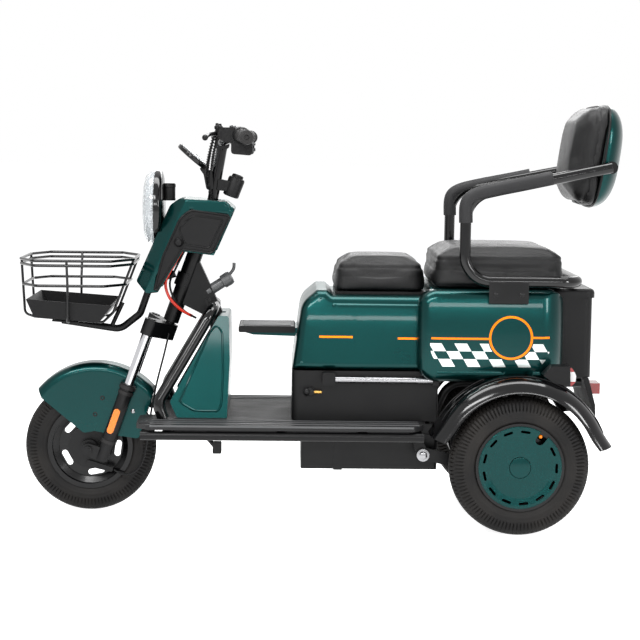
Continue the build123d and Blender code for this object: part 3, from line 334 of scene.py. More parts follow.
def marked_paint(name, lines):
    """Green paint with level orange lines on its flanks: (x from, x to, z)."""
    shader = green_paint(name)
    x, _, z = shader.axes()
    flank = shader.away(0.15)
    for start, end, level in lines:
        across = shader.between(z, level - LINE_HIGH / 2, level + LINE_HIGH / 2)
        shader.tint(shader.all_of(shader.between(x, start, end), across, flank), ORANGE)
    return shader


def check_mask(shader, x, z, outside):
    """1 on the white checks of the slanted band, whose lower corners are sloped off."""
    rise = shader.math("SUBTRACT", z, BAND_LOW)
    run = shader.math("ADD", shader.math("SUBTRACT", x, BAND_START), shader.math("MULTIPLY", rise, SLANT))
    column = shader.math("FLOOR", shader.math("DIVIDE", run, CELL))
    row = shader.math("FLOOR", shader.math("DIVIDE", rise, ROW))
    odd = shader.math("MODULO", shader.math("ABSOLUTE", shader.math("ADD", column, row)), 2.0)
    drop = shader.math("DIVIDE", shader.math("SUBTRACT", BAND_HIGH, rise), BAND_HIGH)
    slope = shader.math("MULTIPLY", shader.math("POWER", drop, 2.5), 0.03)
    after = shader.math("GREATER_THAN", shader.math("SUBTRACT", x, BAND_START), slope)
    before = shader.math("GREATER_THAN", shader.math("SUBTRACT", BAND_END, x), slope)
    return shader.all_of(shader.between(rise, 0.0, BAND_HIGH), after, before, outside, odd)


def rear_marks():
    """Two lines, a ring and a check band on the rear body's flanks."""
    shader = marked_paint("rear_paint", [(0.285, 0.4405, 0.521), (0.5555, 0.602, 0.525)])
    x, _, z = shader.axes()
    flank = shader.away(0.225)
    squares = [shader.math("POWER", shader.math("SUBTRACT", value, middle), 2.0)
               for value, middle in ((x, RING_X), (z, RING_Z))]
    reach = shader.math("SQRT", shader.math("ADD", *squares))
    outside = shader.math("GREATER_THAN", reach, RING_R + 0.003)
    shader.tint(shader.all_of(check_mask(shader, x, z, outside), flank), CHECK_WHITE)
    shader.tint(shader.all_of(shader.between(reach, RING_R - RING_WIDE, RING_R), flank), ORANGE)
    return shader


# ---------- shapes
def steer(along, forward, y):
    """A point along, ahead of and beside the steering axis, from millimetres."""
    return at(STEER_X + along * math.sin(RAKE) - forward * math.cos(RAKE), y,
              STEER_Z + along * math.cos(RAKE) + forward * math.sin(RAKE))


def circle(count):
    """Angles evenly round a circle."""
    return [2 * math.pi * j / count for j in range(count)]


def soft_square(angle, power=3.4):
    """The point of a rounded unit square at an angle."""
    c, s = math.cos(angle), math.sin(angle)
    size = (abs(c) ** power + abs(s) ** power) ** (-1 / power)
    return size * c, size * s


def smooth_line(points, steps, close=False):
    """A Catmull-Rom line through the points."""
    line, n = [], len(points)
    for i in range(n if close else n - 1):
        if close:
            a, b, c, d = (points[(i + k) % n] for k in (-1, 0, 1, 2))
        else:
            a, b, c, d = (points[min(max(i + k, 0), n - 1)] for k in (-1, 0, 1, 2))
        for s in range(steps):
            t = s / steps
            line.append(0.5 * (2 * b + (c - a) * t + (2 * a - 5 * b + 4 * c - d) * t ** 2
                               + (3 * b - a - 3 * c + d) * t ** 3))
    if not close:
        line.append(points[-1])
    return line


def carry_frames(line, close=False):
    """Two directions square to the line at each of its points, without twist."""
    frames, n = [], len(line)
    side = None
    for i, p in enumerate(line):
        ahead = line[(i + 1) % n] if close or i < n - 1 else p
        behind = line[i - 1] if close or i else p
        along = (ahead - behind).normalized()
        side = along.orthogonal() if side is None else side - along * side.dot(along)
        side.normalize()
        frames.append((side.copy(), along.cross(side)))
    return frames


def rounded(points, radius, steps=5):
    """A polygon with its corners rounded."""
    out, n = [], len(points)
    for i in range(n):
        p, a, b = (Vector(points[k % n]) for k in (i, i - 1, i + 1))
        to_a, to_b = (a - p).normalized(), (b - p).normalized()
        cut = min(radius, (a - p).length * 0.45, (b - p).length * 0.45)
        start, end = p + to_a * cut, p + to_b * cut
        for s in range(steps + 1):
            t = s / steps
            out.append(tuple(start * (1 - t) ** 2 + p * 2 * t * (1 - t) + end * t ** 2))
    return out


class Form:
    """Vertices and faces gathered into one piece."""

    def __init__(self):
        self.verts, self.faces = [], []

    def add(self, verts, faces):
        """Adds a mesh to what is there."""
        base = len(self.verts)
        self.verts += [Vector(v) for v in verts]
        self.faces += [tuple(base + i for i in face) for face in faces]
        return self

    def grid(self, rows, wrap_rows=False, wrap_columns=False, cap=False):
        """Faces over rows of points, all of one length."""
        n, m = len(rows), len(rows[0])
        faces = []
        for i in range(n if wrap_rows else n - 1):
            for j in range(m if wrap_columns else m - 1):
                i2, j2 = (i + 1) % n, (j + 1) % m
                faces.append((i * m + j, i * m + j2, i2 * m + j2, i2 * m + j))
        if cap:
            faces.append(tuple(range(m))[::-1])
            faces.append(tuple((n - 1) * m + j for j in range(m)))
        return self.add([p for row in rows for p in row], faces)

    def lathe(self, origin, axis, profile, around=32):
        """A turned form from (distance along the axis, radius) points in metres."""
        axis = axis.normalized()
        side = axis.orthogonal().normalized()
        up = axis.cross(side)
        rows = []
        for along, radius in profile:
            middle, reach = origin + axis * along, max(radius, 1e-5)
            rows.append([middle + (side * math.cos(a) + up * math.sin(a)) * reach for a in circle(around)])
        return self.grid(rows, wrap_columns=True)

    def pipe(self, points, radius, around=14, steps=10, close=False):
        """A round bar along a smooth line through the points."""
        line = smooth_line(points, steps, close)
        rows = [[p + (a * math.cos(t) + b * math.sin(t)) * radius for t in circle(around)]
                for p, (a, b) in zip(line, carry_frames(line, close))]
        return self.grid(rows, wrap_rows=close, wrap_columns=True, cap=not close)

    def coil(self, points, radius, pitch, wire):
        """A spiral wrap round a line."""
        line = smooth_line(points, 60)
        turns, turn = [], 0.0
        for i, (p, (a, b)) in enumerate(zip(line, carry_frames(line))):
            if i:
                turn += (p - line[i - 1]).length / pitch * 2 * math.pi
            turns.append(p + (a * math.cos(turn) + b * math.sin(turn)) * radius)
        rows = [[p + (a * math.cos(t) + b * math.sin(t)) * wire for t in circle(4)]
                for p, (a, b) in zip(turns, carry_frames(turns))]
        return self.grid(rows, wrap_columns=True, cap=True)

    def slab(self, points, y0, y1):
        """A flat plate from an XZ outline, from y0 to y1, all in source millimetres."""
        n = len(points)
        near, far = [at(x, y0, z) for x, z in points], [at(x, y1, z) for x, z in points]
        faces = [tuple(range(n)), tuple(range(2 * n - 1, n - 1, -1))]
        faces += [(i, n + i, n + (i + 1) % n, (i + 1) % n) for i in range(n)]
        return self.add(near + far, faces)

    def block(self, x, y, z, radius, steps=2):
        """A block from (low, high) pairs in source millimetres, rounded as seen from the side."""
        outline = [(x[0], z[0]), (x[1], z[0]), (x[1], z[1]), (x[0], z[1])]
        return self.slab(rounded(outline, radius, steps), *y)

    def mirror(self):
        """Adds the same form on the other side of the middle plane."""
        return self.add([Vector((p.x, -p.y, p.z)) for p in self.verts],
                        [tuple(reversed(face)) for face in self.faces])

    def piece(self, name, key, body, slot=None, replaces=()):
        """Makes the form an object that rides on a body."""
        mesh = bpy.data.meshes.new(name)
        mesh.from_pydata([tuple(p) for p in self.verts], [], self.faces)
        mesh.validate()
        shaped = bmesh.new()
        shaped.from_mesh(mesh)
        bmesh.ops.recalc_face_normals(shaped, faces=shaped.faces)
        shaped.to_mesh(mesh)
        shaped.free()
        obj = place(name, mesh, key, body)
        if replaces:
            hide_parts(*replaces)


# ---------- crowned covers
def slice_up(shaped, low, high, pitch=0.012, margin=0.004):
    """Cuts the mesh by level planes across X and Z, so that its flat flanks can bend."""
    for axis in (0, 2):
        level = low[axis] + pitch
        while level < high[axis] - margin:
            normal, origin = Vector((0, 0, 0)), Vector((0, 0, 0))
            normal[axis], origin[axis] = 1.0, level
            bmesh.ops.bisect_plane(shaped, geom=shaped.verts[:] + shaped.edges[:] + shaped.faces[:],
                                   plane_co=origin, plane_no=normal)
            level += pitch


def crowned(node, name, shade, sag, sharp=32):
    """The node's own shell with its flat flanks drawn in by sag(x, z), in source millimetres."""
    mesh = NODES[node].data.copy()
    shaped = bmesh.new()
    shaped.from_mesh(mesh)
    bmesh.ops.remove_doubles(shaped, verts=shaped.verts, dist=1e-6)
    slice_up(shaped, *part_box(node))
    for vertex in shaped.verts:
        x, y, z = vertex.co.x * 1000 - SHIFT, vertex.co.y * 1000, vertex.co.z * 1000
        pull = sag(x, z) * min(1.0, abs(y) / 150) ** 2
        vertex.co.y = math.copysign(max(abs(y) - pull, 0.0), y) / 1000
    shaped.to_mesh(mesh)
    shaped.free()
    obj = place(name, mesh, shade, "frame", sharp)
    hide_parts(node)


def body_sag(x, z):
    """The sides lean in towards the top and round off at the front."""
    lean = 0.11 * max(z - 440, 0)
    shoulder = 12 * max((z - 540) / 90, 0.0) ** 2
    front = 10 * max((20 - x) / 100, 0.0) ** 2
    return lean + shoulder + front


def rear_sag(x, z):
    """The flanks are crowned: drawn in at the top, the foot and both ends."""
    top = 16 * max((z - 530) / 120, 0.0) ** 2.4
    foot = 16 * max((500 - z) / 100, 0.0) ** 2.2
    ends = 12 * max((320 - x) / 76, (x - 560) / 82, 0.0) ** 2
    return top + foot + ends


def cowl_sag(x, z):
    """The nose narrows a little towards its foot."""
    return 7 * max((760 - z) / 140, 0.0) ** 2


def body_cover():
    """The shell under the rider's seat, with a broken orange line."""
    lines = [(-0.013, 0.077, 0.5156), (0.199, 0.25, 0.513)]
    crowned("body_shell", "body_cover", marked_paint("body_paint", lines), body_sag)


def rear_cover():
    """The rear body, with its line, ring and checks."""
    crowned("rear_body", "rear_cover", rear_marks(), rear_sag)


def cowl_cover():
    """The nose."""
    crowned("front_cowl", "cowl_cover", "green", cowl_sag, sharp=62)


# ---------- tyres
COLUMNS, ACROSS = 416, 60       # mesh columns round a tyre and points across its section
BLOCK = 4                       # mesh columns from one tread block to the next
GROOVE, SIPE, RIB = 0.0022, 0.0036, 0.0012


def tyre_section(radius, half, rim):
    """(radius, y, share of the way across) points from bead to bead."""
    foot = (rim - 0.006, half * 0.74)
    section = [(foot[0], -foot[1], -2.0)]
    for i in range(ACROSS + 1):
        t = -1 + 2 * i / ACROSS
        angle = t * math.radians(128)
        y = half * math.copysign(abs(math.sin(angle)) ** 0.8, t)
        r = radius - (radius - rim) * 0.62 * (1 - math.cos(angle)) * 0.98
        section.append((r, y, t))
    section.append((foot[0], foot[1], 2.0))
    return section


def tread_depth(column, reach):
    """How deep the tread is cut at a column and a share of the way across."""
    if 0.08 < reach < 0.13 or 0.3 < reach < 0.34:
        return GROOVE
    if reach < 0.66:
        shift = BLOCK // 2 if reach > 0.32 else 0
        return SIPE if (column + shift) % BLOCK == 0 and reach > 0.08 else 0.0
    if 0.7 < reach < 0.74 or 0.86 < reach < 0.9:
        return -RIB
    return 0.0


def tread_tyre(name, node, body, rim):
    """The tyre's own outline with moulded tread blocks and a ribbed sidewall."""
    low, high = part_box(node)
    centre = (low + high) / 2
    section = tyre_section((high.z - low.z) / 2, (high.y - low.y) / 2, rim)
    rows = []
    for j, turn in enumerate(circle(COLUMNS)):
        row = []
        for r, y, t in section:
            cut = tread_depth(j, abs(t))
            flank = min(max((abs(t) - 0.3) / 0.3, 0.0), 1.0)
            reach = r - cut * (1 - flank)
            side = y - math.copysign(cut * flank * 0.8, t)
            row.append(centre + Vector((reach * math.sin(turn), side, reach * math.cos(turn))))
        rows.append(row)
    Form().grid(rows, wrap_rows=True).piece(name, "tyre", body, slot="tyre_rubber", replaces=[node])


def tyres():
    """All three tyres, each from its rim's radius in metres."""
    tread_tyre("front_tyre_tread", "front_tyre", "front_wheel", 0.119)
    tread_tyre("left_tyre_tread", "rear_tyre_left", "rear_wheel_left", 0.118)
    tread_tyre("right_tyre_tread", "rear_tyre_right", "rear_wheel_right", 0.118)


# ---------- padded pieces
FRAMES = 20                     # frames that the cover is blown up for
LIMIT = 0.012                   # how far a cover's skin may leave its block


def apply(obj, name, kind, **settings):
    """Adds a modifier with these settings and applies it."""
    modifier = obj.modifiers.new(name, kind)
    for key, value in settings.items():
        setattr(modifier, key, value)
    bpy.ops.object.modifier_apply(modifier=name)


def blow_up(obj, axis, depth=0.012):
    """Blows the cover up by Cloth, with the side that rests on its pan or shell held."""
    group = obj.vertex_groups.new(name="held")
    levels = [vertex.co.dot(axis) for vertex in obj.data.vertices]
    lowest = min(levels)
    for vertex, level in zip(obj.data.vertices, levels):
        group.add([vertex.index], 1.0 if level < lowest + depth else 0.0, "REPLACE")
    cloth = obj.modifiers.new("cloth", "CLOTH")
    cloth.settings.vertex_group_mass = "held"
    cloth.settings.use_pressure = True
    cloth.settings.uniform_pressure_force = 4.0
    cloth.settings.mass = 0.4
    cloth.settings.quality = 4
    cloth.settings.tension_stiffness = 18
    cloth.settings.compression_stiffness = 18
    cloth.settings.effector_weights.gravity = 0.0
    cloth.collision_settings.use_collision = False
    cloth.collision_settings.use_self_collision = False
    cloth.point_cache.frame_start = 1
    cloth.point_cache.frame_end = FRAMES
    for number in range(1, FRAMES + 1):
        bpy.context.scene.frame_set(number)
    bpy.ops.object.modifier_apply(modifier="cloth")
    bpy.context.scene.frame_set(1)


def crown_cover(obj, rest, centre, half, axis, crown):
    """Keeps the skin near its block, lifts the middle of its face and narrows its waist."""
    flat = [i for i in range(3) if abs(axis[i]) < 0.5]
    thick = half.dot(Vector([abs(a) for a in axis]))
    for vertex, old in zip(obj.data.vertices, rest):
        move = vertex.co - old
        if move.length > LIMIT:
            vertex.co = old + move.normalized() * LIMIT
        away = vertex.co - centre
        spread = [away[i] / half[i] for i in flat]
        lift = max(0.0, 1 - abs(spread[0]) ** 3.4) * max(0.0, 1 - abs(spread[1]) ** 3.4)
        level = away.dot(axis)
        if level > 0:
            vertex.co += axis * (crown * (lift - 0.55))
        waist = 1 - 0.03 * (1 - min(1.0, abs(level) / thick))
        for i in flat:
            vertex.co[i] = centre[i] + (vertex.co[i] - centre[i]) * waist
    obj.data.update()


def sew(obj, centre, axis, seams):
    """Sinks sewn seams into the sides: (level, width, depth) of each."""
    normals = [vertex.normal.copy() for vertex in obj.data.vertices]
    for vertex, normal in zip(obj.data.vertices, normals):
        for level, width, sink in seams:
            gap = (vertex.co - centre).dot(axis) - level
            if abs(normal.dot(axis)) < 0.93:
                vertex.co -= normal * sink * math.exp(-(gap / width) ** 2)


def cushion(name, node, body, axis, crown, seams):
    """A blown-up cover over the CAD block: crowned, drawn in at the sides, with sewn seams."""
    obj = bpy.data.objects.new(name, NODES[node].data.copy())
    bpy.context.scene.collection.objects.link(obj)
    bpy.context.view_layer.objects.active = obj
    obj.select_set(True)
    low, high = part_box(node)
    centre, half = (low + high) / 2, (high - low) / 2
    axis = axis.normalized()
    apply(obj, "remesh", "REMESH", mode="VOXEL", voxel_size=0.006)
    rest = [vertex.co.copy() for vertex in obj.data.vertices]
    for vertex in obj.data.vertices:
        vertex.co = centre + (vertex.co - centre) * 0.975
    blow_up(obj, axis)
    apply(obj, "relax", "SMOOTH", factor=0.5, iterations=22)
    crown_cover(obj, rest, centre, half, axis, crown)
    sew(obj, centre, axis, seams)
    apply(obj, "divide", "SUBSURF", levels=1)
    for polygon in obj.data.polygons:
        polygon.use_smooth = True
    paint(obj, "leather")
    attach(obj, body)
    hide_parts(node)
    obj.select_set(False)


def cushions():
    """The two seats and the backrest, with the levels of their seams in metres."""
    cushion("rider_cushion", "front_seat", "seat_lid", UP, 0.011, [(0.024, 0.004, 0.004)])
    cushion("passenger_cushion", "rear_seat", "frame", UP, 0.011,
            [(0.028, 0.004, 0.004), (-0.041, 0.004, 0.003)])
    cushion("back_cushion", "backrest_cushion", "frame", -BACK_OUT, 0.026, [(0.0, 0.004, 0.0035)])


# ---------- backrest and armrest
def back_point(angle, half_wide, half_high):
    """A point of the backrest's rounded outline, from its middle."""
    c, s = soft_square(angle)
    return RIGHT * (half_wide * c) + BACK_UP * (half_high * s)


def backrest_cover():
    """A domed green shell over the rounded outline."""
    depth, rings = 0.06, 26
    rows = []
    for k in range(rings + 1):
        r = math.sin(math.pi / 2 * k / rings)
        top = BACKREST + BACK_OUT * (depth * (1 - r ** 2.6) ** 0.5)
        rows.append([top + back_point(a, 0.17 * r, 0.141 * r) for a in circle(96)])
    form = Form().grid(rows, wrap_columns=True)
    form.piece("backrest_cover", "green", "frame", slot="paint_green", replaces=["backrest_shell"])


def backrest_piping():
    """Piping between the shell and the cushion."""
    edge = [BACKREST + back_point(a, 0.1685, 0.1395) for a in circle(64)]
    Form().pipe(edge, 0.0035, around=8, steps=3, close=True).piece("backrest_piping", "plastic", "frame")


def arm_sleeves():
    """Soft sleeves over the bends of the armrest tube."""
    line = [at(366, -235, 830), at(366, -235, 872), at(375, -234.5, 893), at(400, -232.5, 907),
            at(452, -229, 920), at(520, -222.5, 934), at(596, -214, 950)]
    sleeve = Form().pipe(line, 0.0185, around=24)
    sleeve.mirror().piece("arm_sleeves", "sleeve", "frame", slot="grip_rubber")


def arm_bolts():
    """The bolts that hold the armrest's plates to the body."""
    profile = [(0, 0.0065), (0.002, 0.0065), (0.0032, 0.0045), (0.0034, 0)]
    bolts = Form()
    for x in (448, 518):
        bolts.lathe(at(x, -254.4, 640), LEFT, profile, 20)
    bolts.mirror().piece("arm_bolts", "cast", "frame")


# ---------- rear wheel arches
ARCH_RIM = [                    # an arch's section: (radius, y) from the inner edge round the lip and back
    (239, -214), (239, -296), (236.5, -312), (230, -326), (219, -337), (206, -343.5), (200.5, -344.5),
    (199.5, -342.5), (201, -340.5), (206, -339.5), (217, -333.5), (227, -323.5), (233, -310.5),
    (235.6, -296), (235.6, -214)]
ARCH_FROM, ARCH_TO = 162, 13    # degrees above the level, front to rear


def rear_arches():
    """Glossy arches over the rear wheels: a rounded flank, a rolled lip and flared ends."""
    rows, steps = [], 72
    for i in range(steps + 1):
        t = i / steps
        angle = math.radians(ARCH_FROM + (ARCH_TO - ARCH_FROM) * t)
        flare = 14 * max(0.0, (t - 0.9) / 0.1) ** 2 + 10 * max(0.0, (0.09 - t) / 0.09) ** 2
        rows.append([at(AXLE_X + (r + flare) * math.cos(angle), y, AXLE_Z + (r + flare) * math.sin(angle))
                     for r, y in ARCH_RIM])
    arch = Form().grid(rows, wrap_columns=True, cap=True)
    arch.mirror().piece("rear_arches", "gloss", "frame", slot="gloss_black", replaces=["rear_fenders"])


def arch_beads():
    """Raised beads along the crown of each arch."""
    beads = Form()
    for r, y in ((241, -232), (240, -300)):
        turns = [math.radians(degrees) for degrees in range(22, 158, 8)]
        line = [at(AXLE_X + r * math.cos(a), y, AXLE_Z + r * math.sin(a)) for a in turns]
        beads.pipe(line, 0.0022, around=8, steps=4)
    beads.mirror().piece("arch_beads", "gloss", "frame")


# ---------- front fender and fork
def fender_cheeks():
    """Flat cheeks that close the fender's sides down to the fork legs."""
    outline = rounded([(-644, 231), (-560, 214), (-578, 316), (-632, 316)], 6)
    cheeks = Form().slab(outline, -50.5, -47.6)
    cheeks.mirror().piece("fender_cheeks", "green", "steering", slot="paint_green")


def fender_grommets():
    """Rubber grommets in the fender's sides."""
    profile = [(0, 0.0065), (0.0014, 0.0065), (0.0018, 0.005), (0.0002, 0.003)]
    grommets = Form()
    for x, z in ((-618, 323), (-638, 277)):
        grommets.lathe(at(x, -50.2, z), LEFT, profile, 20)
    grommets.mirror().piece("fender_grommets", "rubber", "steering")


def fender_studs():
    """Bright bolt heads at the fender's stays."""
    profile = [(0, 0.006), (0.002, 0.006), (0.0035, 0.004), (0.004, 0)]
    stud = Form().lathe(at(-533, -50.2, 287), LEFT, profile, 20)
    stud.mirror().piece("fender_studs", "steel", "steering")


def fork_seals():
    """Rubber collars at the top and the foot of each slider."""
    seals = Form()
    for along, radius in ((-336, 0.0235), (-352, 0.0215), (-497, 0.0212)):
        profile = [(0, 0.0185), (0.0005, radius), (0.010, radius), (0.012, 0.0185)]
        seals.lathe(steer(along, LEG_AHEAD, -LEG_SIDE), FORK_UP, profile)
    seals.mirror().piece("fork_seals", "rubber", "steering")


def fork_caps():
    """Caps over the fork legs, on the crown."""
    profile = [(0, 0.0135), (0.001, 0.0125), (0.006, 0.0115), (0.0065, 0)]
    caps = Form().lathe(steer(-134, LEG_AHEAD, -LEG_SIDE), FORK_UP, profile, 24)
    caps.mirror().piece("fork_caps", "cast", "steering")


def front_brake_cable():
    """The held cable from the brake plate up along the fork to the crown."""
    line = [at(-586, -42, 119), at(-556, -50, 108), at(-522, -56, 122), at(-500, -60, 165),
            at(-486, -62, 260), at(-468, -62, 360), at(-446, -58, 450), at(-434, -48, 505)]
    Form().pipe(line, 0.0028, around=10).piece("front_brake_cable", "plastic", "steering")


# ---------- handlebar
GRIP_END, GRIP_ROOT = at(-218, -296, 1049), at(-238, -150, 1055)
GRIP_IN = (GRIP_ROOT - GRIP_END).normalized()


def grip_ribs():
    """Moulded ribs along the grips and the flange at each grip's end."""
    ribs = Form()
    for i in range(15):
        ribs.lathe(GRIP_END + GRIP_IN * (0.014 + 0.0068 * i), GRIP_IN,
                   [(0, 0.0168), (0.0008, 0.0178), (0.0036, 0.0178), (0.0044, 0.0168)], 28)
    flange = [(0, 0.0195), (0.003, 0.0185), (0.0042, 0.015), (0.0042, 0.007), (-0.003, 0.0055), (-0.003, 0)]
    ribs.lathe(GRIP_END - GRIP_IN * 0.0045, -GRIP_IN, flange, 28)
    ribs.mirror().piece("grip_ribs", "rubber", "steering", slot="grip_rubber")


def switch_pods():
    """The switch housings beside the grips, and the lock housing on the stem."""
    pods = Form()
    pods.lathe(GRIP_END, GRIP_IN, [(0.1235, 0.0125), (0.124, 0.0195), (0.128, 0.0215),
                                   (0.160, 0.0222), (0.1655, 0.019), (0.166, 0.0125)])
    lower = [(-262, 1004), (-206, 1000), (-204, 1030), (-214, 1044), (-262, 1040)]
    upper = [(-286, 1036), (-244, 1030), (-232, 1068), (-262, 1078), (-288, 1066)]
    pods.slab(rounded(lower, 9, 4), -163, -133)
    pods.slab(rounded(upper, 10, 4), -160, -136)
    pods.mirror()
    lock = [(0, 0.0), (0.0005, 0.018), (0.003, 0.0225), (0.05, 0.0235), (0.055, 0.0215), (0.057, 0.0165),
            (0.063, 0.016), (0.065, 0.012), (0.065, 0)]
    pods.lathe(at(-268, 0, 884), Vector((0.34, 0, 0.94)), lock, 36)
    pods.slab(rounded([(-304, 902), (-262, 898), (-258, 926), (-302, 934)], 4, 3), -17, 17)
    pods.piece("switch_pods", "plastic", "steering", slot="plastic_black", replaces=["bar_controls"])


def switch_buttons():
    """Two buttons on each switch housing's inner face and one on top."""
    buttons = Form()
    for z, radius in ((1014, 0.0052), (1030, 0.0042)):
        profile = [(0, radius), (0.003, radius), (0.004, radius * 0.7), (0.004, 0)]
        buttons.lathe(at(-205.5, -148, z), Vector((1, 0, 0.05)), profile, 20)
    top = [(-0.003, 0.005), (0.002, 0.005), (0.003, 0)]
    buttons.lathe(at(-262, -148, 1078), Vector((-0.3, 0, 1)), top, 20)
    buttons.mirror().piece("switch_buttons", "grey", "steering")


CABLE_PATHS = {
    "cable_left": [at(-300, -112, 1070), at(-311, -111, 1046), at(-322, -96, 1005), at(-330, -60, 960),
                   at(-330, -28, 918), at(-316, -18.6, 880), at(-320, -18.6, 862)],
    "cable_right": [at(-300, 112, 1070), at(-309, 110, 1046), at(-318, 92, 1002), at(-322, 54, 955),
                    at(-322, 24, 914), at(-313, 18.6, 880), at(-318, 18.6, 862)],
}


def control_cables():
    """The held cables from the levers to the stem, each in a spiral wrap."""
    for name, path in CABLE_PATHS.items():
        Form().pipe(path, 0.003, around=10).piece(name, "plastic", "steering")
        Form().coil(path[:-1], 0.0042, 0.0085, 0.0016).piece(name + "_wrap", "plastic", "steering")


def cable_posts():
    """Threaded adjusters where the cables enter the lever housings."""
    profile = [(0, 0.006), (0.02, 0.006), (0.021, 0.008), (0.028, 0.008), (0.03, 0.005), (0.036, 0.004),
               (0.037, 0)]
    posts = Form()
    for y in (-112, 112):
        posts.lathe(at(-300, y, 1050), Vector((-0.05, 0, 1)), profile, 20)
    posts.piece("cable_posts", "satin", "steering")


def dial_glass():
    """The domed glass of the round instrument."""
    profile = [(0, 0.0455), (0.002, 0.0455), (0.0035, 0.042), (0.005, 0.03), (0.0056, 0.0)]
    screen = Form().lathe(DIAL + DIAL_OUT * 0.0001, DIAL_OUT, profile, 40)
    screen.piece("dial_glass", "milky", "steering", slot="lens_clear")


def dial_face():
    """The pale face under the glass."""
    face = Form().lathe(DIAL, DIAL_OUT, [(0, 0.044), (0.0006, 0.044), (0.0006, 0)], 40)
    face.piece("dial_face", "white", "steering")


# ---------- head lamp and cowl
def lamp_lens():
    """The bulging lens, with its outer and inner skins."""
    outer = [(-0.0004, 0.1), (0.003, 0.1028), (0.01, 0.1025), (0.02, 0.098), (0.028, 0.088),
             (0.032, 0.072), (0.0338, 0.04), (0.034, 0)]
    inner = [(0.031, 0), (0.0308, 0.04), (0.0292, 0.071), (0.0256, 0.086), (0.018, 0.0952),
             (0.0095, 0.0995), (0.003, 0.0998), (-0.0004, 0.0972)]
    lens = Form().lathe(LAMP, AHEAD, outer + inner, 72)
    lens.piece("lamp_lens", "milky", "frame", slot="lens_clear", replaces=["headlight_lens"])


def lamp_bowl():
    """The bright bowl behind the lens."""
    profile = [(0.004, 0.096), (0.004, 0.088), (0.001, 0.07), (0.0008, 0.05), (0.0008, 0.0)]
    Form().lathe(LAMP, AHEAD, profile, 64).piece("lamp_bowl", "steel", "frame")


def lamp_projectors():
    """Four round projectors in the bowl."""
    profile = [(0, 0.021), (0.006, 0.021), (0.008, 0.017), (0.012, 0.014), (0.015, 0.008), (0.016, 0.0)]
    bulbs = Form()
    for y, z in ((0, 0.024), (-0.034, -0.012), (0.034, -0.012), (0, -0.046)):
        bulbs.lathe(LAMP + Vector((-0.001, y, z)), AHEAD, profile, 28)
    bulbs.piece("lamp_projectors", "chrome", "frame")


def lamp_back():
    """The glossy shell behind the lens."""
    profile = [(-0.0003, 0.1025), (0.0, 0.1042), (0.004, 0.1046), (0.012, 0.104), (0.018, 0.099),
               (0.022, 0.086), (0.024, 0.06), (0.0245, 0.03), (0.0245, 0.0)]
    Form().lathe(LAMP, REARWARD, profile, 64).piece("lamp_back", "gloss", "frame")


def lamp_mount_cap():
    """The capped sleeve over the lamp's mount."""
    profile = [(0, 0.0202), (0.006, 0.0202), (0.0065, 0.0196), (0.036, 0.0196), (0.037, 0.0206),
               (0.044, 0.0206), (0.0475, 0.018), (0.0485, 0.0)]
    Form().lathe(at(-440, 0, 872), UP, profile, 36).piece("lamp_mount_cap", "plastic", "frame")


def cowl_trim():
    """A bead round the cowl's side panel, and one round the panel's field."""
    panel = [(-374, 850), (-264, 836), (-312, 733), (-396, 743), (-462, 632), (-470, 632), (-448, 722),
             (-401, 827)]
    field = [(-366, 836), (-283, 826), (-321, 747), (-386, 756), (-404, 800)]
    trim = Form()
    for outline, corner, y, radius in ((panel, 12, -110.5, 0.0028), (field, 10, -108.6, 0.0022)):
        edge = [at(x, y, z) for x, z in rounded(outline, corner, 4)]
        trim.pipe(edge, radius, around=8, steps=2, close=True)
    trim.mirror().piece("cowl_trim", "plastic", "frame")


def cowl_knobs():
    """Round knobs on the cowl's side panels."""
    profile = [(0, 0.013), (0.004, 0.013), (0.006, 0.011), (0.014, 0.0105), (0.018, 0.008), (0.019, 0.0)]
    knob = Form().lathe(at(-404, -108, 762), LEFT, profile, 28)
    knob.mirror().piece("cowl_knobs", "plastic", "frame")


# ---------- neck: harness and bag hook
def harness():
    """The held red and dark wires that sag from the cowl to the neck."""
    red = [at(-398, -42, 735), at(-424, -50, 690), at(-443, -52, 648), at(-434, -48, 607),
           at(-404, -34, 572), at(-372, -20, 552)]
    dark = [at(-392, -36, 735), at(-414, -42, 690), at(-432, -44, 645), at(-420, -40, 600),
            at(-392, -28, 566), at(-360, -19.5, 546)]
    Form().pipe(red, 0.0042, around=12).piece("harness_red", "cable_red", "frame")
    Form().pipe(dark, 0.003, around=10).piece("harness_dark", "plastic", "frame")


def bag_hook():
    """The bag hook's turned body and its upturned finger."""
    profile = [(0, 0.017), (0.012, 0.0172), (0.014, 0.015), (0.05, 0.015), (0.052, 0.019), (0.072, 0.0195),
               (0.079, 0.017), (0.081, 0.008), (0.081, 0.0)]
    hook = Form().lathe(at(-330, 0, 618), Vector((0.84, 0, 0.54)), profile)
    hook.pipe([at(-272, 0, 664), at(-258, 0, 682), at(-256, 0, 700)], 0.0045, around=12)
    hook.piece("bag_hook", "grey", "frame")


# ---------- leg shield, console and body trim
def shield_side(x, z, proud=0.6):
    """A point of the leg shield's flank, which leans in as it rises."""
    return at(x, -(165 - 0.1858 * (z - 288) + proud), z)


def shield_beads():
    """The pressed bead on each flank of the leg shield."""
    outline = [(-398, 330), (-356, 306), (-290, 306), (-283, 330), (-280, 420), (-284, 520), (-300, 538),
               (-318, 516)]
    line = [shield_side(x, z) for x, z in rounded(outline, 14, 4)]
    beads = Form().pipe(line, 0.003, around=8, steps=2, close=True)
    beads.mirror().piece("shield_beads", "green", "frame")


def console_cover():
    """The flat cover of the console ahead of the seat."""
    cover = Form().block((-240, -84), (-82, 82), (514, 532), 5, 3)
    cover.piece("console_cover", "plastic", "frame", slot="plastic_black")


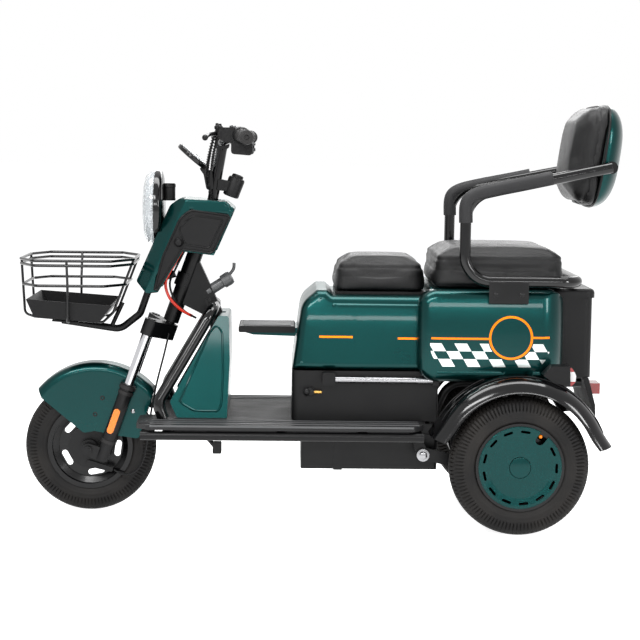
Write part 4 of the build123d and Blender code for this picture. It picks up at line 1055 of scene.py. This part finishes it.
def console_ribs():
    """Ribs along the console's cover."""
    ribs = Form()
    for y in (-56, -28, 0, 28, 56):
        ribs.block((-230, -96), (y - 8, y + 8), (531, 534), 1)
    ribs.piece("console_ribs", "grey", "frame")


def release_lever():
    """The seat's release: a turned hub with a ball, and a brass rod."""
    hub = [(0, 0.011), (0.008, 0.011), (0.01, 0.0085), (0.02, 0.0085), (0.021, 0)]
    round_end = [(-0.01, 0), (-0.008, 0.006), (-0.004, 0.0092), (0, 0.0102), (0.004, 0.0092),
                 (0.008, 0.006), (0.01, 0)]
    ball = Form().lathe(at(-40, -192, 367), LEFT, hub, 24)
    ball.lathe(at(-52, -207, 367), AHEAD, round_end, 24)
    ball.piece("release_ball", "plastic", "frame")
    rod = Form().pipe([at(-50, -207, 367), at(-12, -207, 367)], 0.004, around=12)
    rod.piece("release_rod", "brass", "frame")


def pivot_bolts():
    """The trailing arms' pivot bolts."""
    profile = [(0, 0.017), (0.003, 0.017), (0.004, 0.011), (0.009, 0.011), (0.011, 0.008), (0.011, 0.0)]
    bolt = Form().lathe(at(265, -210, 198), LEFT, profile, 28)
    bolt.mirror().piece("pivot_bolts", "steel", "frame")


def wheel_trim():
    """The valve cap and the pressed centre disc of each rear wheel."""
    for side, hand in ((-1, "left"), (1, "right")):
        body, out = "rear_wheel_" + hand, Vector((0, side, 0))
        cap = Form().lathe(at(AXLE_X + 52, side * 318, AXLE_Z + 84), out,
                           [(0, 0.0045), (0.012, 0.0045), (0.014, 0.003), (0.014, 0)], 16)
        cap.piece("valve_cap_" + hand, "amber", body)
        disc = Form().lathe(at(AXLE_X, side * 326.5, AXLE_Z), out,
                            [(0, 0.0275), (0.0012, 0.0272), (0.0016, 0.026), (0.0016, 0)], 48)
        disc.piece("cap_disc_" + hand, "green", body)


def board_strips():
    """Raised strips along the floor board, and one along its edge."""
    strips = Form()
    for y in (-268, -238, -208):
        strips.block((-470, 250), (y - 2, y + 2), (287, 289.4), 1)
    strips.block((-470, 234), (-281.2, -279.6), (280, 285.4), 1)
    strips.mirror().piece("board_strips", "grey", "frame")


def stand_stub():
    """The side stand's short leg and its foot."""
    stand = Form().pipe([at(-318, -236, 246), at(-300, -240, 226), at(-288, -243, 214)], 0.006, around=12)
    stand.block((-303, -279), (-256, -232), (205, 236), 4, 3)
    stand.piece("stand_stub", "satin", "frame")


for build in (
        body_cover, rear_cover, cowl_cover, tyres, cushions,
        backrest_cover, backrest_piping, arm_sleeves, arm_bolts, rear_arches, arch_beads,
        fender_cheeks, fender_grommets, fender_studs, fork_seals, fork_caps, front_brake_cable,
        grip_ribs, switch_pods, switch_buttons, control_cables, cable_posts, dial_glass, dial_face,
        lamp_lens, lamp_bowl, lamp_projectors, lamp_back, lamp_mount_cap, cowl_trim, cowl_knobs,
        harness, bag_hook, shield_beads, console_cover, console_ribs, release_lever, pivot_bolts,
        wheel_trim, board_strips, stand_stub):
    build()


# ---------- stage, light and camera
def seen_ray(tree):
    """1 for the rays that show the background, 0 for those that light the object."""
    path = tree.nodes.new("ShaderNodeLightPath")
    value = path.outputs["Is Camera Ray"]
    for name in ("Is Glossy Ray", "Is Transmission Ray"):
        node = tree.nodes.new("ShaderNodeMath")
        node.operation = "MAXIMUM"
        tree.links.new(value, node.inputs[0])
        tree.links.new(path.outputs[name], node.inputs[1])
        value = node.outputs["Value"]
    return value


def lay_floor(reach=60):
    """A wide pale floor that shows as white and keeps the soft shadows."""
    mesh = bpy.data.meshes.new("floor")
    corners = [(-reach, -reach, 0), (reach, -reach, 0), (reach, reach, 0), (-reach, reach, 0)]
    mesh.from_pydata(corners, [], [(0, 1, 2, 3)])
    obj = bpy.data.objects.new("floor", mesh)
    bpy.context.scene.collection.objects.link(obj)
    ground = Shader("pale_floor", (0.8, 0.8, 0.8, 1), 0.8, **{"Specular IOR Level": 0.0})
    ground.rough_by(ground.noise(3.0), 0.75, 0.85)
    ground.set(**{"Emission Color": (1, 1, 1, 1)})
    glow = ground.math("MULTIPLY", seen_ray(ground.tree), 0.9)
    ground.link(glow, ground.bsdf.inputs["Emission Strength"])
    obj.data.materials.append(ground.mat)


def area_light(name, spot, height, size, power):
    """A soft rectangular light aimed at a height over the middle."""
    light = bpy.data.lights.new(name, "AREA")
    light.shape = "RECTANGLE"
    light.size, light.size_y = size
    light.energy = power
    obj = bpy.data.objects.new(name, light)
    obj.location = spot
    obj.rotation_mode = "QUATERNION"
    obj.rotation_quaternion = (Vector((0, 0, height)) - Vector(spot)).to_track_quat("-Z", "Y")
    bpy.context.scene.collection.objects.link(obj)


def hang_lights():
    area_light("key", (-1.6, -3.4, 3.2), 0.5, (2.4, 0.7), 120)
    area_light("fill", (3.4, -3.0, 1.8), 0.5, (0.6, 1.4), 60)
    area_light("top", (0, 0.1, 3.6), 0.5, (4.2, 1.2), 150)
    area_light("strip", (0.2, -5.6, 2.1), 0.6, (5.0, 0.35), 90)
    area_light("back", (0.6, 4.0, 2.4), 0.6, (3.0, 1.2), 45)


def surround():
    """A world that shows as white and lights the object softly."""
    world = bpy.data.worlds.new("studio")
    bpy.context.scene.world = world
    world.use_nodes = True
    tree = world.node_tree
    tree.nodes.clear()
    mix = tree.nodes.new("ShaderNodeMix")
    mix.data_type = "RGBA"
    mix.inputs["A"].default_value = (0.2, 0.205, 0.21, 1)
    mix.inputs["B"].default_value = (1, 1, 1, 1)
    sky = tree.nodes.new("ShaderNodeBackground")
    out = tree.nodes.new("ShaderNodeOutputWorld")
    tree.links.new(seen_ray(tree), mix.inputs["Factor"])
    tree.links.new(mix.outputs["Result"], sky.inputs["Color"])
    tree.links.new(sky.outputs["Background"], out.inputs["Surface"])


def place_camera():
    """A long lens on the rider's left, at about the handlebar's height."""
    eye = Vector((-0.1086, -5.0, 1.0503))
    pitch, yaw, roll = math.radians(5.805), math.radians(1.15), math.radians(0.697)
    lens = bpy.data.cameras.new("camera")
    lens.sensor_width = 36.0
    lens.lens = 100.87
    camera = bpy.data.objects.new("camera", lens)
    bpy.context.scene.collection.objects.link(camera)
    ahead = Vector((math.sin(yaw) * math.cos(pitch), math.cos(yaw) * math.cos(pitch), -math.sin(pitch)))
    level = ahead.cross(UP).normalized()
    square = level.cross(ahead)
    right = level * math.cos(roll) + square * math.sin(roll)
    up = square * math.cos(roll) - level * math.sin(roll)
    camera.matrix_world = Matrix((
        (right.x, up.x, -ahead.x, eye.x),
        (right.y, up.y, -ahead.y, eye.y),
        (right.z, up.z, -ahead.z, eye.z),
        (0, 0, 0, 1)))
    bpy.context.scene.camera = camera
    bpy.context.scene.view_settings.view_transform = "Standard"


lay_floor()
hang_lights()
surround()
place_camera()
